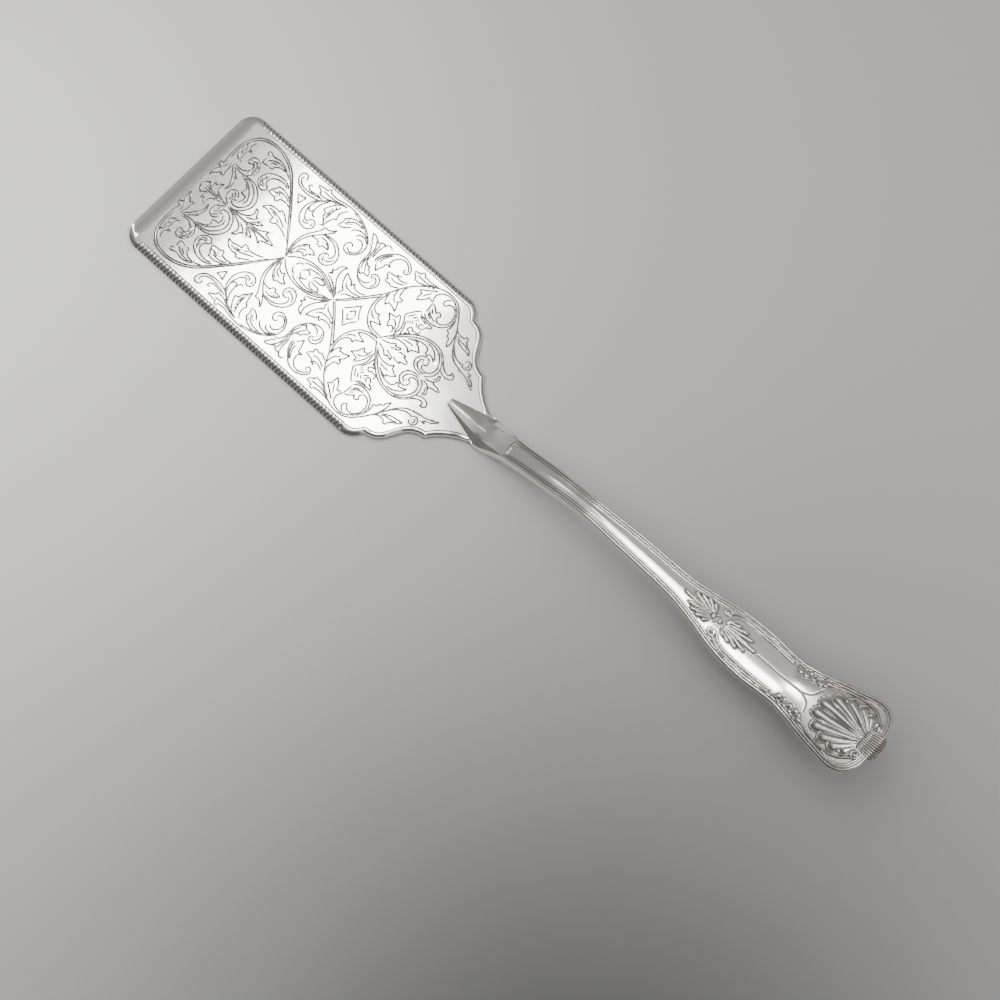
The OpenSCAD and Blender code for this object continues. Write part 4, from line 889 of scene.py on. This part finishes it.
handlePiece = makeHandle(handle, ornament)

comb = {
    # from the first to the last place along the handle; the half width grows over the widening
    "first": 230.9, "last": 236.3, "half": (2.55, 3.35), "widening": 4.5, "inset": 0.04,
    "tall": 0.28, "sink": 0.5, "roundEnd": 0.45,
    # ribs, lower along the middle than towards both ends, where the plate rises as well
    "ribs": 10, "ribTall": 0.26, "ribPower": 0.7, "middleRib": 0.4, "endRise": 0.15, "endReach": 3,
    # tarnish and painted shade over the comb, more in the gaps between the ribs, and painted shade on the
    # rows at its end
    "stainAndShade": 0.55, "gapTarnishAndShade": 0.5, "rows": 60, "ribColumns": 24, "paintedShadeRows": 8, "sharpAngle": 50,
}


def makeComb(c, h):  # ribbed plate on the shell's end, down to nothing at both of its own ends
    x = np.linspace(c["first"], c["last"], c["rows"])
    u = np.linspace(-1, 1, c["ribColumns"] * c["ribs"] + 1)
    half, top, _, crown = handleForm(h, x)
    widening = np.clip((x - c["first"]) / c["widening"], 0, 1)
    v = np.minimum(lerp(*c["half"], widening), half - c["inset"])[:, None] * u
    base = top[:, None] - crown[:, None] * (v / half[:, None]) ** 2
    fromEnd = np.minimum(x - c["first"], c["last"] - x) / c["roundEnd"]
    swell = np.sqrt(np.maximum(0, 1 - np.maximum(0, 1 - fromEnd) ** 2))[:, None]
    rib = np.abs(np.cos(math.pi * c["ribs"] * (u + 1) / 2 + math.pi / 2)) ** c["ribPower"]
    ends = np.maximum(0, 1 - fromEnd / c["endReach"])[:, None]
    ribHeight = c["ribTall"] * lerp(c["middleRib"], 1, ends) * rib
    z = base + swell * (c["tall"] + ribHeight + c["endRise"] * ends)
    low = base[:, :1] - c["sink"]
    loopY = np.concatenate([v, v[:, -1:], v[:, :1]], 1)
    loopZ = np.concatenate([z, low, low], 1)
    # tarnish and painted shade, darker in the gaps between the ribs
    tarnishAndShade = c["gapTarnishAndShade"] * (1 - rib) + c["stainAndShade"]
    return sectionPiece("combRibbed", x, loopY, loopZ, tarnishAndShade, c["paintedShadeRows"], c["sharpAngle"])


combPiece = makeComb(comb, handle)


# Finishes
class Value:
    def __init__(self, finish, socket):
        self.finish, self.socket = finish, socket

    def math(self, operation, first, second):
        return self.finish.node("ShaderNodeMath", {"operation": operation}, {0: first, 1: second})

    def __add__(self, other):
        return self.math("ADD", self, other)

    def __sub__(self, other):
        return self.math("SUBTRACT", self, other)

    def __rsub__(self, other):
        return self.math("SUBTRACT", other, self)

    def __mul__(self, other):
        return self.math("MULTIPLY", self, other)

    def __pow__(self, other):
        return self.math("POWER", self, other)

    __radd__ = __add__


class Finish:
    def __init__(self, name):
        self.material = bpy.data.materials.new(name)
        self.material.use_nodes = True
        self.tree = self.material.node_tree
        self.shader = self.tree.nodes["Principled BSDF"]

    def node(self, kind, settings, sockets, output=0):
        made = self.tree.nodes.new(kind)
        for key, value in settings.items():
            setattr(made, key, value)
        for key, value in sockets.items():
            self.feed(made.inputs[key], value)
        return Value(self, made.outputs[output])

    def place(self):
        return self.node("ShaderNodeTexCoord", {}, {}, "Object")

    def noise(self, place, scale, detail):
        return self.node("ShaderNodeTexNoise", {}, {"Vector": place, "Scale": scale, "Detail": detail})

    def feed(self, socket, value):
        if isinstance(value, Value):
            self.tree.links.new(value.socket, socket)
        else:
            socket.default_value = value

    def surface(self, **values):
        for key, value in values.items():
            self.feed(self.shader.inputs[key.replace("_", " ")], value)

    def glow(self, colour):  # black surface that only gives off light
        self.surface(Base_Color=(0, 0, 0, 1), Roughness=1.0, Emission_Color=colour, Emission_Strength=1.0)


# Clean colour and the dark colour of tarnish and painted shade, roughness and how much it varies, strength
# of scratches, height of waves
silvers = {
    "bladeSilver": {"clean": (0.93, 0.905, 0.87, 1), "dark": (0.05, 0.047, 0.045, 1),
                    "rough": 0.06, "cloudy": 0.03, "scratch": 0.04, "wave": 0.00003},
    "handleSilver": {"clean": (0.92, 0.87, 0.81, 1), "dark": (0.10, 0.085, 0.07, 1),
                     "rough": 0.11, "cloudy": 0.05, "scratch": 0.04, "wave": 0.00001},
    "solderGrey": {"clean": (0.75, 0.74, 0.72, 1), "dark": (0.3, 0.3, 0.3, 1),
                   "rough": 0.32, "cloudy": 0.05, "scratch": 0.08, "wave": 0.00001},
}

# How much the tarnish and painted shade cover and dull, share and height of the scratches, and scale and
# detail of each noise
wear = {
    "cover": 0.85, "dull": 0.25, "grainShare": 0.5, "height": 0.00005,
    "cloud": (45.0, 4.0), "grain": (1600.0, 3.0), "swell": (110.0, 1.0), "lines": (1.0, 2.0),
    "lineTurn": (0, 0, 0.5), "lineStretch": (60, 2600, 60),
}


def silverFinish(name, c, w):
    f = Finish(name)
    stainAndShade = f.node("ShaderNodeAttribute", {"attribute_name": "tarnishAndShade"}, {}, "Fac")
    place = f.place()
    cloud = f.noise(place, *w["cloud"])
    grain = f.noise(place, *w["grain"])
    swell = f.noise(place, *w["swell"])
    turned = {"Vector": place, "Rotation": w["lineTurn"], "Scale": w["lineStretch"]}
    lines = f.noise(f.node("ShaderNodeMapping", {}, turned), *w["lines"])
    # sockets 6 and 7 are the two colours of the mix, output 2 is the mixed colour
    colours = {0: stainAndShade * w["cover"], 6: c["clean"], 7: c["dark"]}
    colour = f.node("ShaderNodeMix", {"data_type": "RGBA"}, colours, 2)
    wavy = f.node("ShaderNodeBump", {}, {"Strength": 1.0, "Distance": c["wave"], "Height": swell})
    scratches = grain * w["grainShare"] + lines
    scratched = {"Strength": c["scratch"], "Distance": w["height"], "Height": scratches, "Normal": wavy}
    bump = f.node("ShaderNodeBump", {}, scratched)
    rough = c["rough"] + cloud * c["cloudy"] + stainAndShade * w["dull"]
    f.surface(Base_Color=colour, Metallic=1.0, Roughness=rough, Normal=bump)
    return f.material


finishes = {name: silverFinish(name, silver, wear) for name, silver in silvers.items()}
bladePiece.data.materials.append(finishes["bladeSilver"])
handlePiece.data.materials.append(finishes["handleSilver"])
combPiece.data.materials.append(finishes["handleSilver"])
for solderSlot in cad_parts["lap_solder"].material_slots:
    solderSlot.material = finishes["solderGrey"]
print("finishes ready")

# Table, light and camera
stageSet = {
    "floorSize": 6, "floorHeight": -0.0002, "floorColour": (0.97, 0.95, 0.92), "floorRough": (0.55, 0.1),
    "floorSpeck": (30.0, 5.0),
    "world": (0.62, 0.62, 0.63, 1), "worldStrength": 1.2,
    # places, reaches and strengths of the pool of light and of the shadow painted into the table's colour
    "paintedLight": ((-0.172, -0.067, 0), 0.154, 0.61), "paintedShadow": ((0.129, -0.117, 0), 0.135, 0.885),
    "dadoReach": 1.7, "dadoHeight": 0.75, "dadoGrey": 0.2, "dadoSides": 64,
}


def stagePiece(name, points, faces, finish, seen):  # piece of the set, only mirrored unless seen
    mesh = bpy.data.meshes.new(name)
    mesh.from_pydata(points, [], faces)
    mesh.materials.append(finish.material)
    piece = bpy.data.objects.new(name, mesh)
    piece.visible_camera = seen
    piece.visible_shadow = seen
    bpy.context.scene.collection.objects.link(piece)


def makeFloor(s):
    f = Finish("tableTop")
    place = f.place()
    speck = f.noise(place, *s["floorSpeck"])

    def spot(centre, reach):  # 1 at the centre, falling off as a bell
        far = f.node("ShaderNodeVectorMath", {"operation": "DISTANCE"}, {0: place, 1: centre}, "Value")
        far = far * (1 / reach)
        return f.node("ShaderNodeMath", {"operation": "EXPONENT"}, {0: far * far * -1})
    (paintedLightPlace, paintedLightReach, paintedLightGain), (paintedShadowPlace, paintedShadowReach, paintedShadowLoss) = s["paintedLight"], s["paintedShadow"]
    # the painted pool of light and the painted shadow scale the table's colour
    level = (1 - paintedLightGain + spot(paintedLightPlace, paintedLightReach) * paintedLightGain) * (1 - spot(paintedShadowPlace, paintedShadowReach) * paintedShadowLoss)
    colour = f.node("ShaderNodeVectorMath", {"operation": "SCALE"}, {0: s["floorColour"], "Scale": level})
    smooth, speckled = s["floorRough"]
    f.surface(Base_Color=colour, Roughness=smooth + speck * speckled)
    size, z = s["floorSize"], s["floorHeight"]
    corners = [(-size, -size, z), (size, -size, z), (size, size, z), (-size, size, z)]
    stagePiece("table", corners, [(0, 1, 2, 3)], f, True)


def makeDado(s):  # dark band round the foot of the room, for the steep sides of cuts and beads to mirror
    sides = s["dadoSides"]
    a = np.linspace(0, 2 * math.pi, sides + 1)[:-1]
    ring = s["dadoReach"] * np.stack([np.cos(a), np.sin(a), np.zeros(sides)], 1)
    points = np.concatenate([ring, ring + [0, 0, s["dadoHeight"]]])
    i = np.arange(sides)
    j = (i + 1) % sides
    f = Finish("dado")
    f.surface(Base_Color=(s["dadoGrey"], s["dadoGrey"], s["dadoGrey"], 1), Roughness=1.0)
    stagePiece("dado", points.tolist(), np.stack([i, i + sides, j + sides, j], 1).tolist(), f, False)


# Cards overhead, duller than the room, for what slopes away from the viewer to mirror
levelCards = {
    "shadeCard": {"left": -0.25, "right": 0.4, "near": 0.3, "far": 0.95, "height": 1, "glow": 0.53},
    "bevelCard": {"left": -0.8, "right": -0.26, "near": 0.4, "far": 2.2, "height": 1, "glow": 0.28},
}

# Upright cards that face the object, for a flank to mirror: heights of foot and head, and glow at the foot,
# in the middle and at the head
uprightCards = {
    "tongueCard": {"place": (-0.5, -0.6), "width": 1.2, "heights": (0.02, 1.25), "glow": (0.16, 0.16, 0.19)},
    "viewerCard": {"place": (0.25, -0.75), "width": 1.2, "heights": (0.02, 1.1), "glow": (0.11, 0.11, 0.14)},
    "frontCard": {"place": (-1.1, 0.02), "width": 1.3, "heights": (0.25, 2.4), "glow": (0.75, 0.3, 0.74)},
    "neckCard": {"place": (-0.95, 1.05), "width": 1, "heights": (0.1, 2), "glow": (0.3, 0.3, 0.6)},
}


def makeLevelCard(name, c):
    near, far, z = c["near"], c["far"], c["height"]
    corners = [(c["left"], near, z), (c["left"], far, z), (c["right"], far, z), (c["right"], near, z)]
    f = Finish(name)
    f.glow((c["glow"], c["glow"], c["glow"], 1))
    stagePiece(name, corners, [(0, 1, 2, 3)], f, False)


def makeUprightCard(name, c):
    headPower, footPower = 2.5, 12
    x, y = c["place"]
    aside = Vector((-y, x, 0)).normalized() * c["width"] / 2
    footZ, headZ = c["heights"]
    foot, head = Vector((x, y, footZ)), Vector((x, y, headZ))
    f = Finish(name)
    up = f.node("ShaderNodeSeparateXYZ", {}, {"Vector": f.place()}, "Z")
    low, middle, high = c["glow"]
    share = (up - footZ) * (1 / (headZ - footZ))
    f.glow(middle + share ** headPower * (high - middle) + (1 - share) ** footPower * (low - middle))
    stagePiece(name, [foot - aside, foot + aside, head + aside, head - aside], [(0, 1, 2, 3)], f, False)


makeFloor(stageSet)
makeDado(stageSet)
for cardName, card in levelCards.items():
    makeLevelCard(cardName, card)
for cardName, card in uprightCards.items():
    makeUprightCard(cardName, card)
world = bpy.data.worlds.new("room")
world.use_nodes = True
world.node_tree.nodes["Background"].inputs["Color"].default_value = stageSet["world"]
world.node_tree.nodes["Background"].inputs["Strength"].default_value = stageSet["worldStrength"]
bpy.context.scene.world = world
print("table and cards ready")

# Panels overhead. The flat blade mirrors the tube and the slant with its two softer strips, the near half
# of the handle mirrors the one over it, and the tongue's ridge and the stem mirror the streak. The one over
# the table isn't mirrored: it is the only one that lights what is dull.
lights = {
    "tube": {"place": (-0.4025, 0.24, 1), "turn": 0, "size": (0.145, 0.22), "radiance": 13},
    "slant": {"place": (-0.3357, 0.191, 1), "turn": 38.7, "size": (0.096, 0.21), "radiance": 13},
    "slantSide": {"place": (-0.2877, 0.2294, 1), "turn": 38.7, "size": (0.027, 0.21), "radiance": 2.1},
    "slantEdge": {"place": (-0.2639, 0.2485, 1), "turn": 38.7, "size": (0.034, 0.21), "radiance": 0.7},
    "overHandle": {"place": (-0.025, -0.04, 1), "turn": 0, "size": (0.43, 0.16), "radiance": 12},
    "overTable": {"place": (0, 0, 1.2), "turn": 0, "size": (2, 2), "radiance": 2.45, "mirrored": False},
    "streak": {"place": (-0.87, 0.13, 1), "turn": 0, "size": (0.4, 0.05), "radiance": 7},
}
for name, lamp in lights.items():
    data = bpy.data.lights.new(name, "AREA")
    data.shape = "RECTANGLE"
    data.size, data.size_y = lamp["size"]
    data.energy = lamp["radiance"] * math.pi * data.size * data.size_y
    light = bpy.data.objects.new(name, data)
    light.location = lamp["place"]
    light.rotation_euler = (0, 0, math.radians(lamp["turn"]))
    light.visible_glossy = lamp.get("mirrored", True)
    light.visible_diffuse = not light.visible_glossy
    bpy.context.scene.collection.objects.link(light)

# Target and distance in millimetres, angles in degrees
cameraSet = {
    "target": (4.985, -10.55, 1.6), "azimuth": 42.81, "elevation": 73.28, "distance": 600, "lens": 84.83,
    "sensor": 36, "nearest": 0.01,
}
azimuth, elevation = math.radians(cameraSet["azimuth"]), math.radians(cameraSet["elevation"])
level = math.cos(elevation)
back = Vector((math.sin(azimuth) * level, -math.cos(azimuth) * level, math.sin(elevation)))
cameraData = bpy.data.cameras.new("camera")
cameraData.lens = cameraSet["lens"]
cameraData.sensor_width = cameraSet["sensor"]
cameraData.clip_start = cameraSet["nearest"]
camera = bpy.data.objects.new("camera", cameraData)
camera.location = (Vector(cameraSet["target"]) + back * cameraSet["distance"]) * mm
camera.rotation_euler = (-back).to_track_quat("-Z", "Y").to_euler()
bpy.context.scene.collection.objects.link(camera)
bpy.context.scene.camera = camera
print("lights and camera ready")
